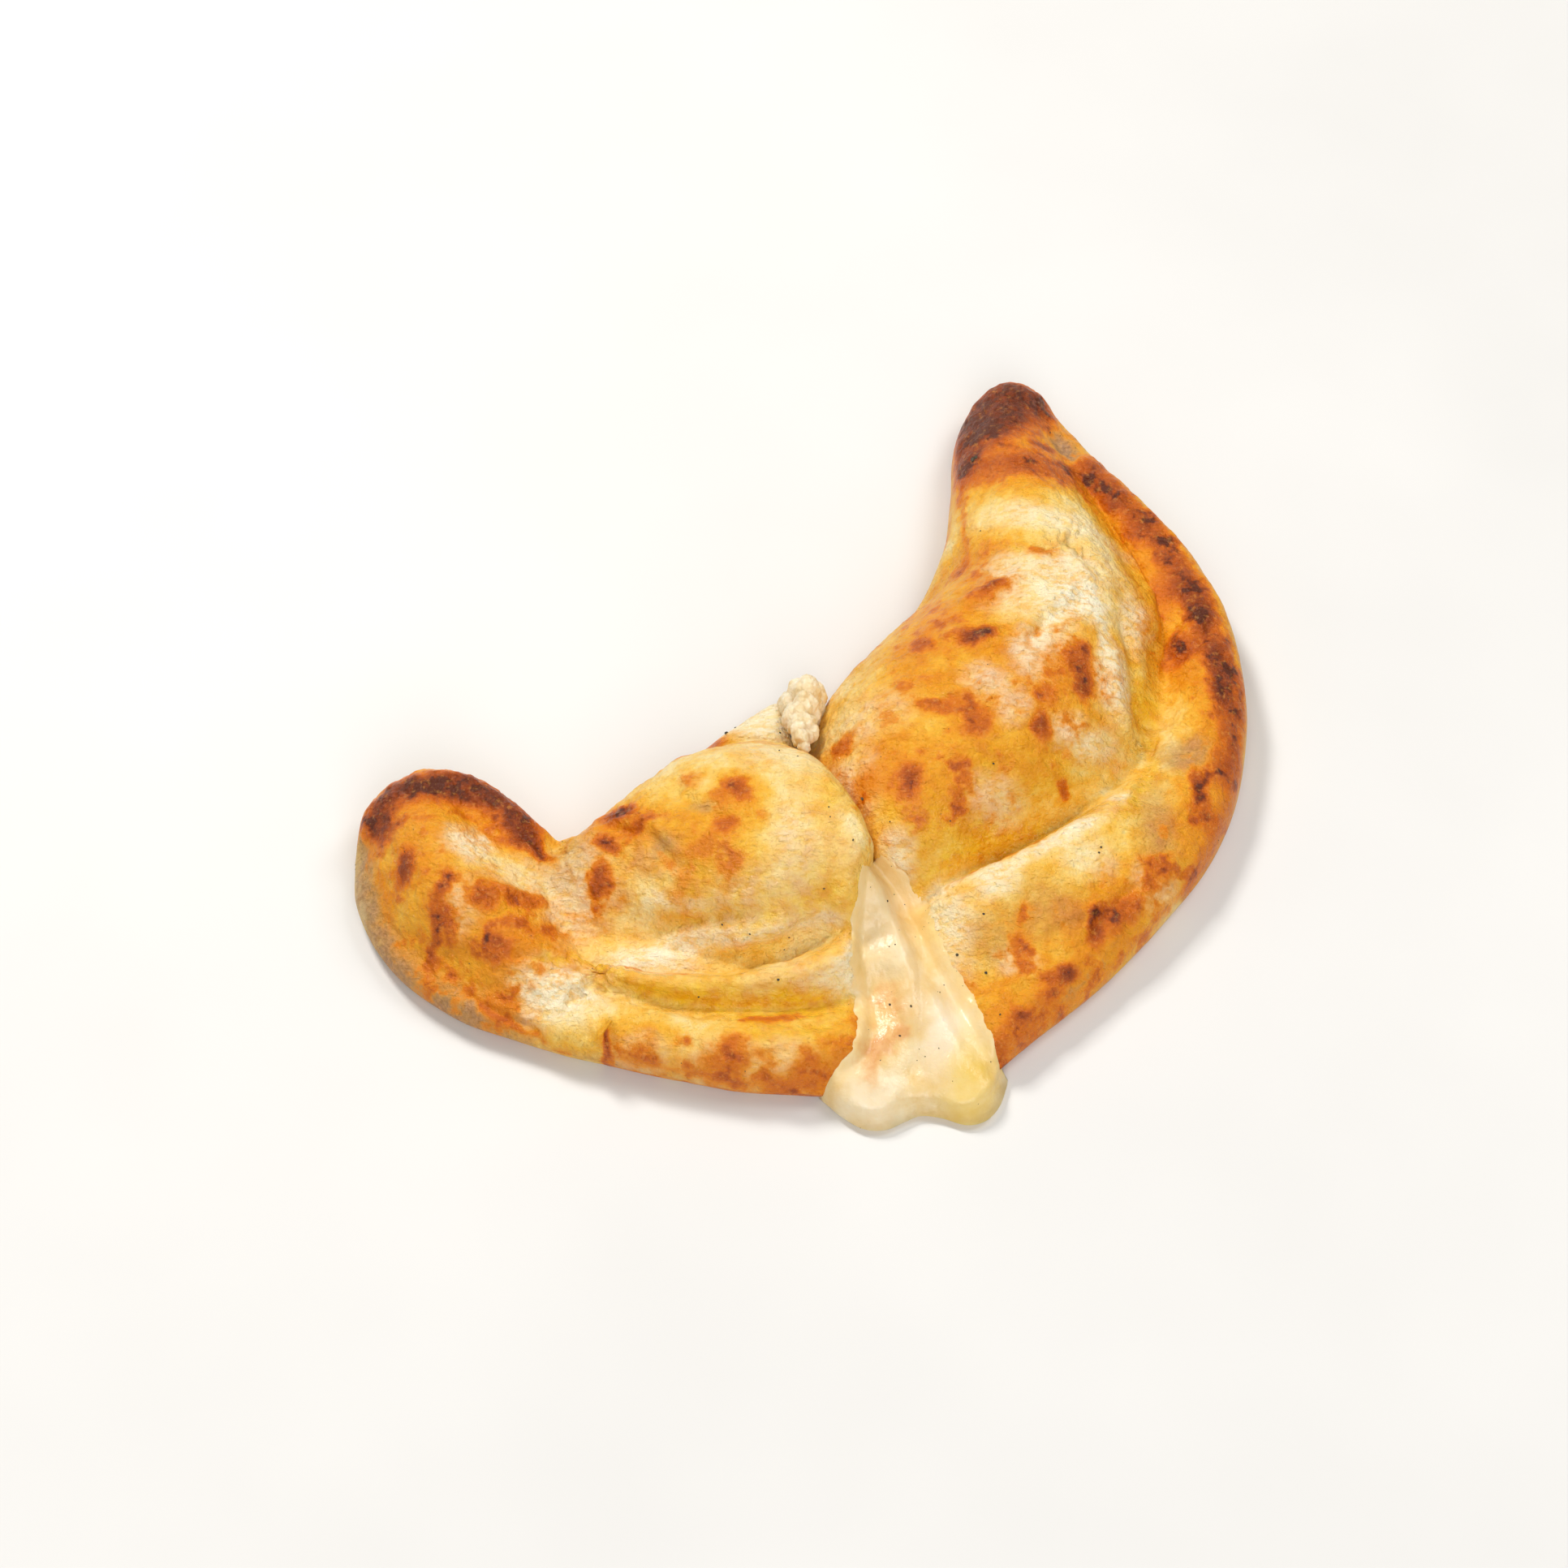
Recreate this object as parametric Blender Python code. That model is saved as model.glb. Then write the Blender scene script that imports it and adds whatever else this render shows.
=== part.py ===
"""A baked calzone, cut across and lying as its two halves, with melted cheese running out of the cut.

Metres, +Z up. The origin is on the table under the middle of the food. The two tips point to -X and
to +Y, the folded side of the dough faces the hollow between them, and the crimped side faces -Y and +X.
Sizes below are in millimetres, and become metres when a mesh is made.
"""

import math

import bmesh
import bpy
import numpy as np

MM = 0.001
SHIFT = np.array([-5.0, -9.8])  # moves the plan below so that the food is centred on the origin

# Gaps between neighbouring solids
GAP = 0.45
SHARED_GAP = 0.9
CUT_ACROSS = (0.87, 0.49)  # the way from the left half to the right one where they touch

# Thickness of the dough
EDGE_LOW = 3.5  # height of the widest point of an edge above the table
SHEET_TOP = 9.0  # top of the flat, crimped dough
SHEET_ROUND = 6.0  # width over which the sheet's edge is rounded
FOLD_RISE = 27.0  # steepest rise that the dough makes at its folded edge
FOLD_ROUND = 15.0

# Each half is a row of stations from its tip to the cut. A station is four points across the dough, with
# the folded edge first and the crimped edge last. The two between them follow the creases.
RIGHT_STATIONS = [
    ((53.0, 108.0), (53.0, 108.0), (53.0, 108.0), (53.0, 108.0)),
    ((44.5, 102.5), (56.0, 101.5), (58.5, 102.5), (61.5, 103.5)),
    ((39.3, 91.0), (59.5, 91.0), (63.0, 92.0), (67.5, 93.0)),
    ((38.0, 76.0), (65.0, 77.0), (71.0, 77.0), (78.0, 77.0)),
    ((36.0, 60.0), (77.0, 58.0), (84.0, 57.5), (92.0, 57.0)),
    ((29.0, 43.5), (85.0, 36.0), (92.5, 34.5), (101.0, 33.0)),
    ((20.0, 31.5), (83.0, 11.5), (88.5, 9.5), (101.5, 6.0)),
    ((14.5, 25.8), (73.5, -10.0), (77.0, -14.0), (93.0, -22.0)),
    ((11.8, 23.2), (53.5, -24.8), (56.0, -29.5), (73.0, -48.5)),
    ((11.0, 22.0), (26.8, -39.0), (29.2, -45.5), (45.0, -75.5)),
]
LEFT_STATIONS = [
    ((-92.5, -24.0), (-92.5, -24.0), (-92.5, -24.0), (-92.5, -24.0)),
    ((-91.0, -14.0), (-91.4, -27.0), (-91.5, -31.0), (-91.5, -34.5)),
    ((-85.0, -8.0), (-86.0, -30.0), (-86.6, -38.0), (-87.0, -45.0)),
    ((-74.5, -5.5), (-77.0, -36.0), (-78.5, -47.0), (-79.5, -55.0)),
    ((-63.5, -8.5), (-65.5, -42.0), (-67.0, -54.0), (-68.0, -63.0)),
    ((-54.0, -17.0), (-54.5, -47.0), (-55.0, -58.0), (-55.5, -68.0)),
    ((-45.5, -21.5), (-45.0, -53.0), (-44.8, -58.5), (-44.5, -71.5)),
    ((-39.0, -15.5), (-36.0, -55.5), (-35.5, -59.5), (-33.5, -74.5)),
    ((-28.5, -5.0), (-22.0, -57.0), (-22.0, -63.0), (-22.5, -77.5)),
    ((-15.0, 8.5), (-3.0, -54.0), (-4.0, -65.0), (-9.0, -80.3)),
    ((-1.5, 19.5), (17.0, -43.0), (18.0, -62.0), (8.0, -81.0)),
]

# The cut, from the folded side to the crimped side. The halves touch along the shared stretch, and
# part at both ends.
SHARED_CUT = [(4.0, -2.0), (8.2, -8.2), (12.3, -15.0), (16.3, -22.5), (19.2, -30.5)]
LEFT_MOUTH = [(-1.5, 19.5), (1.2, 9.0), (4.0, -2.0)]
RIGHT_MOUTH = [(11.0, 22.0), (6.5, 8.4), (4.9, -2.3)]
LEFT_LIP = [(19.2, -30.5), (17.0, -41.0), (16.4, -53.0), (18.2, -63.0), (17.0, -74.0), (8.0, -81.0)]
RIGHT_LIP = [(20.1, -30.9), (26.5, -38.5), (31.2, -52.0), (37.0, -62.5), (41.5, -71.5), (45.0, -75.5)]
CHEESE_LOBES = [
    (8.6, -81.6), (12.0, -85.0), (16.5, -88.0), (21.0, -88.4), (25.0, -86.6), (28.5, -85.2),
    (33.0, -85.8), (38.0, -87.4), (42.0, -86.4), (45.0, -83.0), (46.6, -78.5), (47.0, -76.6),
]

# A roll is a puffed ridge of dough along a line in plan. Each point is x, y, the roll's width to the left
# and to the right of its line, and its height.
RIGHT_ROLLS = {
    "dome": [
        (52.5, 99, 12, 12, 15), (52, 84, 15, 16, 19), (55, 62, 21, 22, 24), (56, 38, 30, 27, 28),
        (47, 16, 37, 33, 30), (34, -2, 31, 33, 29), (25, -14, 26, 27, 26),
    ],
    "rim": [
        (62, 95, 6, 6, 9), (70, 80, 8, 8, 11), (84, 62, 11, 9, 13), (92, 40, 12, 10, 14),
        (92.5, 16, 13, 10, 14.5), (88, -8, 12, 10, 14), (80, -26, 11, 9, 13), (66, -42, 10, 9, 12),
        (50, -58, 9, 8, 11), (44, -66, 8, 8, 10),
    ],
    "flap": [
        (83, 4, 8, 5, 11), (77, -9, 20, 7, 14.5), (66, -21.5, 25, 8, 17), (52, -31, 26, 7.5, 18),
        (38, -38.5, 25, 7, 17), (31, -43.5, 22, 6, 14),
    ],
}
LEFT_ROLLS = {
    "tip": [
        (-78, -15, 14, 14, 19), (-75, -27, 17, 16, 22), (-68, -40, 18, 15, 21.5),
        (-58, -50, 17, 12, 17.5), (-48, -57, 12, 9, 13),
    ],
    "shoulder": [(-62, -18, 12, 12, 17), (-56, -30, 11, 11, 15), (-52, -42, 10, 10, 13.5)],
    "dome": [
        (-37, -27, 15, 20, 20), (-25, -25, 23, 26, 26), (-10, -23, 28, 31, 30.5), (4, -25, 27, 30, 30.5),
        (14, -28, 20, 24, 28),
    ],
    "fold": [
        (-39, -56, 4, 3.5, 12), (-25, -59, 5, 4.5, 13.5), (-8, -60, 7, 5, 15), (6, -57, 9, 6, 16),
        (17, -50, 9, 8, 16),
    ],
    "rim": [
        (-46, -64, 8, 8, 10), (-30, -69, 9, 8, 11), (-14, -72, 10, 8, 12.5), (2, -72.5, 10, 9, 12.5),
        (12, -70, 9, 9, 11),
    ],
    "pleat": [(-36, -69, 2.6, 2.6, 12.5), (-39.5, -73.5, 2.4, 2.4, 10.5)],
}
ROLL_BLEND = 5.0  # how softly one roll runs into the next
ROLL_POWER = 0.62  # 0.5 is a round section, and more is a softer one
# Width over which the dough is rounded down to the cut
LEFT_CUT_ROUND = 4.5
RIGHT_CUT_ROUND = 11.0
# Share of its height that the dough loses at the cut: in the mouth, where the halves touch, and at the lip
LEFT_CUT_DROP = (0.30, 0.16, 0.38)
RIGHT_CUT_DROP = (0.35, 0.30, 0.44)
CUT_STRETCHES = (0.0, 0.15, 0.25, 0.40, 0.60, 1.0)  # where each of them starts and ends along the cut

# The cheese between the halves: x, y and height down the middle of the flow, from the cut to the lobes
CHEESE_HEIGHTS = [
    (20, -31, 15.0), (22, -42, 12.5), (24, -54, 10.0), (27, -65, 8.0), (29, -75, 6.0), (30, -84, 4.6),
]
CHEESE_STREAMS = {
    "left": [
        (20, -34, 4, 4, 1), (21, -46, 6, 6, 3.2), (21, -58, 7, 7, 3), (20, -70, 8, 8, 2.6),
        (16, -84, 8, 8, 1.6),
    ],
    "right": [
        (24, -44, 4, 4, 0.5), (27, -54, 6, 6, 2), (32, -64, 8, 8, 3.4), (37, -75, 8, 8, 2.6),
        (40, -84, 8, 8, 1.6),
    ],
}
CHEESE_EDGE_LOW = 1.2
CHEESE_ROUND = 4.5

# The filling inside each half: x, y and half the width of the pocket. The mouth comes first.
LEFT_POCKET = [
    (21.5, -46, 3.5), (12, -41, 6.0), (0, -32, 15.0), (-14, -27, 17.0), (-27, -28, 10.0), (-35, -32, 4.0),
]
RIGHT_POCKET = [
    (23.5, -46, 2.2), (33, -39, 2.8), (39, -26, 5.5), (43, -6, 15.0), (48, 16, 20.0), (54, 38, 17.0),
    (54, 58, 11.0), (53, 72, 4.0),
]
POCKET_FLAT = 0.45  # height of a pocket over its width
POCKET_FLOOR = 4.0  # dough under a pocket

# Lumps of ricotta in the open end of the cut: x, y, z and radius
CURDS = [
    (5.2, 13.6, 6.4, 5.6), (5.0, 15.6, 12.0, 4.4), (3.4, 17.2, 9.4, 4.0), (4.6, 11.0, 13.0, 3.9),
    (3.6, 7.6, 14.2, 3.1), (5.0, 4.6, 15.4, 2.8), (3.9, 2.0, 17.0, 2.1), (7.0, 17.8, 8.0, 3.4),
]
CURD_KNOBS = 0.16  # how far the surface of a lump swells and dips, as a share of its radius

# Colours
LEFT_COLOUR = (0.80, 0.52, 0.20)
RIGHT_COLOUR = (0.78, 0.48, 0.17)
CHEESE_COLOUR = (0.86, 0.68, 0.33)
CURD_COLOUR = (0.90, 0.84, 0.66)

# Mesh fineness: rows from tip to cut, and columns between the lines of the stations
ROWS = 46
RIGHT_COLUMNS = (11, 3, 9)
LEFT_COLUMNS = (12, 5, 6)
CHEESE_ROWS = 28
CHEESE_COLUMNS = (16,)


def smooth_path(points, count):
    """Points on a Catmull-Rom curve through the given ones, which may have any number of values each."""
    p = np.array(points, float)
    p = np.vstack([2 * p[0] - p[1], p, 2 * p[-1] - p[-2]])
    at = np.linspace(0, len(points) - 1, count)
    i = np.minimum(at.astype(int), len(points) - 2)
    t = (at - i)[:, None]
    a, b, c, d = p[i], p[i + 1], p[i + 2], p[i + 3]
    return b + 0.5 * t * (c - a + t * (2 * a - 5 * b + 4 * c - d + t * (3 * (b - c) + d - a)))


def even_path(path, shares):
    """Points of a polyline at the given shares of its length."""
    steps = np.linalg.norm(np.diff(path, axis=0), axis=1)
    along = np.concatenate([[0], np.cumsum(steps)]) / steps.sum()
    return np.stack([np.interp(shares, along, path[:, k]) for k in range(path.shape[1])], axis=1)


def beside(path, distance):
    """A polyline moved sideways in plan, to its left where distance is positive."""
    way = np.gradient(path, axis=0)
    way /= np.linalg.norm(way, axis=1)[:, None]
    return path + distance * np.stack([-way[:, 1], way[:, 0]], axis=1)


def nearest(path, x, y):
    """For each point: distance to a polyline, the index of its nearest point, and the side (+1 is left)."""
    dx, dy = x[:, None] - path[None, :, 0], y[:, None] - path[None, :, 1]
    away = np.hypot(dx, dy)
    index = away.argmin(axis=1)
    every = np.arange(len(x))
    way = np.gradient(path[:, :2], axis=0)[index]
    side = np.sign(way[:, 0] * dy[every, index] - way[:, 1] * dx[every, index])
    return away[every, index], index, side


def smooth_max(a, b, blend):
    near = np.clip(1 - np.abs(a - b) / blend, 0, None)
    return np.maximum(a, b) + blend / 4 * near**2


def rounded(distance, width):
    """0 at an edge, rising like a quarter circle to 1 at width."""
    t = np.clip(1 - distance / width, 0, 1)
    return np.sqrt(1 - t * t)


def roll_height(roll, x, y):
    path = smooth_path(roll, 160)
    away, index, side = nearest(path, x, y)
    width = np.where(side > 0, path[index, 2], path[index, 3])
    return path[index, 4] * np.clip(1 - (away / width) ** 2, 0, None) ** ROLL_POWER


def dough_top(x, y, edge, rolls, cut, drop, cut_round):
    """Height of the dough's upper side at points in plan. The drop is given for each point of the cut."""
    inside = nearest(edge, x, y)[0]
    top = EDGE_LOW + (SHEET_TOP - EDGE_LOW) * rounded(inside, SHEET_ROUND)
    for roll in rolls.values():
        top = smooth_max(top, roll_height(roll, x, y), ROLL_BLEND)
    steepest = EDGE_LOW + FOLD_RISE * rounded(inside, FOLD_ROUND)
    top = -smooth_max(-top, -steepest, ROLL_BLEND)
    top = np.maximum(top, EDGE_LOW * (inside < 1e-6) + EDGE_LOW)
    from_cut, index, _ = nearest(cut, x, y)
    return top * (1 - drop[index] * (1 - rounded(from_cut, cut_round)))


def dough_bottom(x, y, edge):
    """Height of the underside: flat on the table, and turned up at the edge."""
    inside = nearest(edge, x, y)[0]
    return EDGE_LOW * (1 - rounded(inside, EDGE_LOW))


def shares_across(columns):
    """Where the columns lie: a whole number at each line of the stations, and closer together beside it."""
    spans = [i + 0.5 - 0.5 * np.cos(np.linspace(0, math.pi, n + 1)) for i, n in enumerate(columns)]
    return np.concatenate([spans[0]] + [span[1:] for span in spans[1:]])


def between_lines(lines, at):
    """Points between neighbouring lines, where lines is (line, row, xy) and at counts the lines."""
    i = np.minimum(at.astype(int), len(lines) - 2)
    t = (at - i)[:, None, None]
    return ((1 - t) * lines[i] + t * lines[i + 1]).transpose(1, 0, 2)


def share_of(path, point):
    """How far along a polyline its nearest point to the given one is, from 0 to 1."""
    steps = np.concatenate([[0], np.cumsum(np.linalg.norm(np.diff(path, axis=0), axis=1))])
    return steps[np.linalg.norm(path - point, axis=1).argmin()] / steps[-1]


def plan_grid(lines, end, columns):
    """A grid of points in plan that follows several lines from a tip, and closes on the end curve."""
    at = shares_across(columns)
    knots = np.array([share_of(end, line[-1]) for line in lines])
    knots[0], knots[-1] = 0.0, 1.0
    lines = lines.copy()
    lines[:, -1] = even_path(end, knots)
    grid = between_lines(lines, at)
    bow = even_path(end, np.interp(at, range(len(knots)), knots)) - grid[-1]
    s = np.linspace(0, 1, lines.shape[1])[:, None, None]
    return grid + s**4 * bow[None, :, :]


def plain_material(name, colour, roughness):
    material = bpy.data.materials.new(name)
    material.use_nodes = True
    shader = material.node_tree.nodes["Principled BSDF"]
    shader.inputs["Base Color"].default_value = (*colour, 1.0)
    shader.inputs["Roughness"].default_value = roughness
    return material


def mesh_object(name, verts, faces, colour, roughness, collection):
    mesh = bpy.data.meshes.new(name)
    mesh.from_pydata([tuple(v) for v in np.asarray(verts) * MM], [], faces)
    mesh.validate()
    mesh.materials.append(plain_material(name, colour, roughness))
    obj = bpy.data.objects.new(name, mesh)
    collection.objects.link(obj)
    return obj


def slab(name, plan, top, bottom, colour, roughness, collection):
    """A closed solid over a plan grid whose first row is one point: upper side, underside and walls."""
    rows, columns = plan.shape[0] - 1, plan.shape[1] - 1
    side = columns + 1
    upper = np.concatenate([plan, top[:, :, None]], axis=2).reshape(-1, 3)
    under = np.concatenate([plan, bottom[:, :, None]], axis=2).reshape(-1, 3)
    count = len(upper)
    faces = []
    for i in range(rows):
        for j in range(columns):
            a, b, c, d = i * side + j, i * side + j + 1, (i + 1) * side + j + 1, (i + 1) * side + j
            faces.append((a, d, c, b))
            faces.append((count + a, count + b, count + c, count + d))
        for j, flip in ((0, False), (columns, True)):
            a, b = i * side + j, (i + 1) * side + j
            wall = (a, count + a, count + b, b)
            faces.append(wall[::-1] if flip else wall)
    for j in range(columns):
        a, b = rows * side + j, rows * side + j + 1
        faces.append((a, count + a, count + b, b))
    obj = mesh_object(name, np.concatenate([upper, under]), faces, colour, roughness, collection)
    tidy(obj)
    return obj


def tidy(obj):
    """Welds the points that coincide, merges the flat faces on the table, and turns every face outwards."""
    work = bmesh.new()
    work.from_mesh(obj.data)
    bmesh.ops.remove_doubles(work, verts=work.verts, dist=0.02 * MM)
    bmesh.ops.dissolve_degenerate(work, edges=work.edges, dist=0.01 * MM)
    flat = [f for f in work.faces if all(abs(v.co.z) < 1e-7 for v in f.verts)]
    if flat:
        bmesh.ops.dissolve_faces(work, faces=flat)
    flat = [f for f in work.faces if all(abs(v.co.z) < 1e-7 for v in f.verts)]
    bmesh.ops.triangulate(work, faces=flat)
    bmesh.ops.recalc_face_normals(work, faces=work.faces)
    work.to_mesh(obj.data)
    work.free()
    obj.data.shade_smooth()


def boolean(obj, other, operation):
    modifier = obj.modifiers.new(other.name, "BOOLEAN")
    modifier.operation = operation
    modifier.object = other
    modifier.solver = "EXACT"
    return modifier


def plan_shift(points):
    return np.array(points, float) + SHIFT


def shifted_rolls(rolls):
    """The rolls with their places moved by SHIFT, and their widths and heights kept."""
    move = np.array([SHIFT[0], SHIFT[1], 0, 0, 0])
    return {name: np.array(points, float) + move for name, points in rolls.items()}


def crust_half(name, plan_of_half, rolls, drop, cut_round, colour, collection):
    """One half of the calzone's dough, as a solid."""
    stations, columns, cut = plan_of_half
    lines = np.array([smooth_path(line, ROWS + 1) + SHIFT for line in zip(*stations)])
    fold, crimp = (smooth_path([s[i] for s in stations], 400) + SHIFT for i in (0, -1))
    edge = np.concatenate([fold[::-1], crimp])
    plan = plan_grid(lines, cut, columns)
    x, y = plan[:, :, 0].ravel(), plan[:, :, 1].ravel()
    top = dough_top(x, y, edge, shifted_rolls(rolls), cut, drop, cut_round).reshape(plan.shape[:2])
    bottom = dough_bottom(x, y, edge).reshape(plan.shape[:2])
    for border in (np.s_[0], np.s_[:, 0], np.s_[:, -1]):
        top[border] = bottom[border] = EDGE_LOW
    return slab(name, plan, top, bottom, colour, 0.5, collection)


def cheese_flow(name, left, right, collection):
    """The melted cheese between the halves, which spreads into lobes on the table."""
    lines = np.array([even_path(side, np.linspace(0, 1, CHEESE_ROWS + 1)) for side in (left, right)])
    lines[:, 0] = lines[:, 0].mean(axis=0)
    lobes = smooth_path(plan_shift(CHEESE_LOBES), 200)
    plan = plan_grid(lines, lobes, CHEESE_COLUMNS)
    x, y = plan[:, :, 0].ravel(), plan[:, :, 1].ravel()
    middle = smooth_path([(a + SHIFT[0], b + SHIFT[1], h) for a, b, h in CHEESE_HEIGHTS], 100)
    height = middle[nearest(middle, x, y)[1], 2]
    for stream in shifted_rolls(CHEESE_STREAMS).values():
        height = height + roll_height(stream, x, y)
    inside = nearest(lobes, x, y)[0]
    top = CHEESE_EDGE_LOW + (height - CHEESE_EDGE_LOW) * rounded(inside, CHEESE_ROUND)
    bottom = CHEESE_EDGE_LOW * (1 - rounded(inside, CHEESE_EDGE_LOW))
    top, bottom = top.reshape(plan.shape[:2]), bottom.reshape(plan.shape[:2])
    top[-1] = bottom[-1] = CHEESE_EDGE_LOW
    return slab(name, plan, top, bottom, CHEESE_COLOUR, 0.35, collection)


def pocket(name, spine, shrink, collection):
    """A flattened roll of filling inside the dough. The dough's hollow is the same roll without shrink."""
    data = bpy.data.curves.new(name, "CURVE")
    data.dimensions = "3D"
    data.bevel_depth = 1.0 * MM
    data.bevel_resolution = 2
    data.use_fill_caps = True
    path = smooth_path([(a + SHIFT[0], b + SHIFT[1], r) for a, b, r in spine], 16)
    spline = data.splines.new("POLY")
    spline.points.add(len(path) - 1)
    for point, (a, b, r) in zip(spline.points, path):
        height = POCKET_FLOOR + POCKET_FLAT * r
        point.co = (a * MM, b * MM, height / POCKET_FLAT * MM, 1.0)
        point.radius = r - shrink
    guide = bpy.data.objects.new(name + "_curve", data)
    guide.scale = (1, 1, POCKET_FLAT)
    collection.objects.link(guide)
    bpy.context.view_layer.update()
    graph = bpy.context.evaluated_depsgraph_get()
    mesh = bpy.data.meshes.new_from_object(guide.evaluated_get(graph))
    mesh.transform(guide.matrix_world)
    bpy.data.objects.remove(guide)
    return helper(name, mesh, collection)


def helper(name, mesh, collection):
    """A cutter or a piece to be joined: welded, facing out, and left out of the render."""
    work = bmesh.new()
    work.from_mesh(mesh)
    bmesh.ops.remove_doubles(work, verts=work.verts, dist=0.01 * MM)
    bmesh.ops.recalc_face_normals(work, faces=work.faces)
    work.to_mesh(mesh)
    work.free()
    obj = bpy.data.objects.new(name, mesh)
    obj.hide_render = True
    obj.display_type = "WIRE"
    collection.objects.link(obj)
    return obj


def curd(name, x, y, z, radius, collection):
    """One lump of ricotta, slightly knobbly."""
    work = bmesh.new()
    bmesh.ops.create_icosphere(work, subdivisions=2, radius=1.0)
    for v in work.verts:
        wave = math.sin(5 * v.co.x + x) * math.sin(4 * v.co.y + y) * math.sin(6 * v.co.z)
        v.co *= radius * (1 + CURD_KNOBS * wave)
        v.co.x += x + SHIFT[0]
        v.co.y += y + SHIFT[1]
        v.co.z = max(v.co.z + z, 0.0)
        v.co *= MM
    mesh = bpy.data.meshes.new(name)
    work.to_mesh(mesh)
    work.free()
    return helper(name, mesh, collection)


def curd_cluster(name, grow, collection):
    """The lumps joined into one body. Grown a little, it cuts the seat that the lumps lie in."""
    lumps = [curd(f"{name}_{i}", x, y, z, r + grow, collection) for i, (x, y, z, r) in enumerate(CURDS)]
    for other in lumps[1:]:
        boolean(lumps[0], other, "UNION")
    return lumps[0]


def baked_copy(obj, name, collection):
    """A new object from obj with its modifiers applied."""
    bpy.context.view_layer.update()
    graph = bpy.context.evaluated_depsgraph_get()
    mesh = bpy.data.meshes.new_from_object(obj.evaluated_get(graph))
    mesh.name = name
    copy = bpy.data.objects.new(name, mesh)
    collection.objects.link(copy)
    return copy


def main():
    for obj in list(bpy.data.objects):
        bpy.data.objects.remove(obj)
    food = bpy.data.collections.new("calzone")
    cutters = bpy.data.collections.new("cutters")
    for collection in (food, cutters):
        bpy.context.scene.collection.children.link(collection)

    shared = smooth_path(plan_shift(SHARED_CUT), 60)
    across = np.array(CUT_ACROSS) * SHARED_GAP
    left_lip = smooth_path(plan_shift(LEFT_LIP), 120)
    right_lip = smooth_path(plan_shift(RIGHT_LIP), 120)
    left_mouth = smooth_path(plan_shift(LEFT_MOUTH), 40)
    right_mouth = smooth_path(plan_shift(RIGHT_MOUTH), 40)
    cut_left = np.concatenate([left_mouth, shared[1:], left_lip[1:]])
    cut_right = np.concatenate([right_mouth, (shared + across)[1:], right_lip[1:]])
    stretches = np.array(CUT_STRETCHES) * (len(cut_left) - 1)
    every = np.arange(len(cut_left))
    left_drop = np.interp(every, stretches, np.repeat(LEFT_CUT_DROP, 2))
    right_drop = np.interp(every, stretches, np.repeat(RIGHT_CUT_DROP, 2))

    left_plan = (LEFT_STATIONS, LEFT_COLUMNS, cut_left)
    right_plan = (RIGHT_STATIONS, RIGHT_COLUMNS, cut_right)
    left_shape = (LEFT_ROLLS, left_drop, LEFT_CUT_ROUND, LEFT_COLOUR)
    right_shape = (RIGHT_ROLLS, right_drop, RIGHT_CUT_ROUND, RIGHT_COLOUR)
    left = crust_half("crust_left", left_plan, *left_shape, food)
    right = crust_half("crust_right", right_plan, *right_shape, food)
    cheese = cheese_flow("cheese_filling", beside(left_lip, GAP), beside(right_lip, -GAP), food)

    for crust, spine in ((left, LEFT_POCKET), (right, RIGHT_POCKET)):
        boolean(crust, pocket(crust.name + "_hollow", spine, 0.0, cutters), "DIFFERENCE")
        boolean(cheese, pocket(crust.name + "_core", spine, 2 * GAP, cutters), "UNION")

    lumps = baked_copy(curd_cluster("curd", 0.0, cutters), "ricotta_curd", food)
    lumps.data.materials.append(plain_material("ricotta_curd", CURD_COLOUR, 0.6))
    lumps.hide_render = False
    seat = curd_cluster("curd_seat", GAP, cutters)
    boolean(left, seat, "DIFFERENCE")
    boolean(right, seat, "DIFFERENCE")


main()
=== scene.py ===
"""The looks of a baked calzone, cut across, with melted cheese running out of the cut.

The dough and the cheese are built again from the same named shapes as their plain solids, finely enough
for folds, blisters and rounded edges. Browning, oil, pale dough and cheese that also carry painted highlights,
and unbrowned dough darkened with painted shade in grooves and on its walls are marks on the surface. A mark is
placed by a pixel of the 1932 x 1932 photograph, as the scene's camera sees it, and sized in millimetres.
"""

import math

import bmesh
import bpy
import numpy as np
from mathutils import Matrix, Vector, kdtree, noise


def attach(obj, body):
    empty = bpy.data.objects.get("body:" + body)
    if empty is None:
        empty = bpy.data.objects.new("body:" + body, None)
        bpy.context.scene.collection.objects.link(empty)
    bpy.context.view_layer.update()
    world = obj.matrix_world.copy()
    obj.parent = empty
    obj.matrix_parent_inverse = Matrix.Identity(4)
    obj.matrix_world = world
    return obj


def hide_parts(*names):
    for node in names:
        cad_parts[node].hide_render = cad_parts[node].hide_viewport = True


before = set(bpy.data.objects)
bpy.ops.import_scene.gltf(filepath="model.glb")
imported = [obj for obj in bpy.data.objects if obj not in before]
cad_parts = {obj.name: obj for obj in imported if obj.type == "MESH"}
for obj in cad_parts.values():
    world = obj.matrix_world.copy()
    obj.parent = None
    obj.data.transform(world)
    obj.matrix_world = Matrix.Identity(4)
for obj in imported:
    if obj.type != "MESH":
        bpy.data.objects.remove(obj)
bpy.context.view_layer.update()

MM = 0.001
SHIFT = np.array([-5.0, -9.8])  # moves the plan below so that the food is centred on the origin

# Camera: it looks down on the table at this angle, at the point that is the middle of the photograph
ELEVATION = 55.0
DISTANCE = 900.0
PHOTO_SIZE = 1932
PIXELS_PER_MM = 5.6
SENSOR = 36.0
BACK = np.array([0.0, -math.cos(math.radians(ELEVATION)), math.sin(math.radians(ELEVATION))])
CAMERA_UP = np.cross(BACK, [1.0, 0.0, 0.0])

# Thickness of the dough
EDGE_LOW = 3.5
SHEET_TOP = 9.0
SHEET_ROUND = 6.0
FOLD_RISE = 27.0
FOLD_ROUND = 15.0

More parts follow.
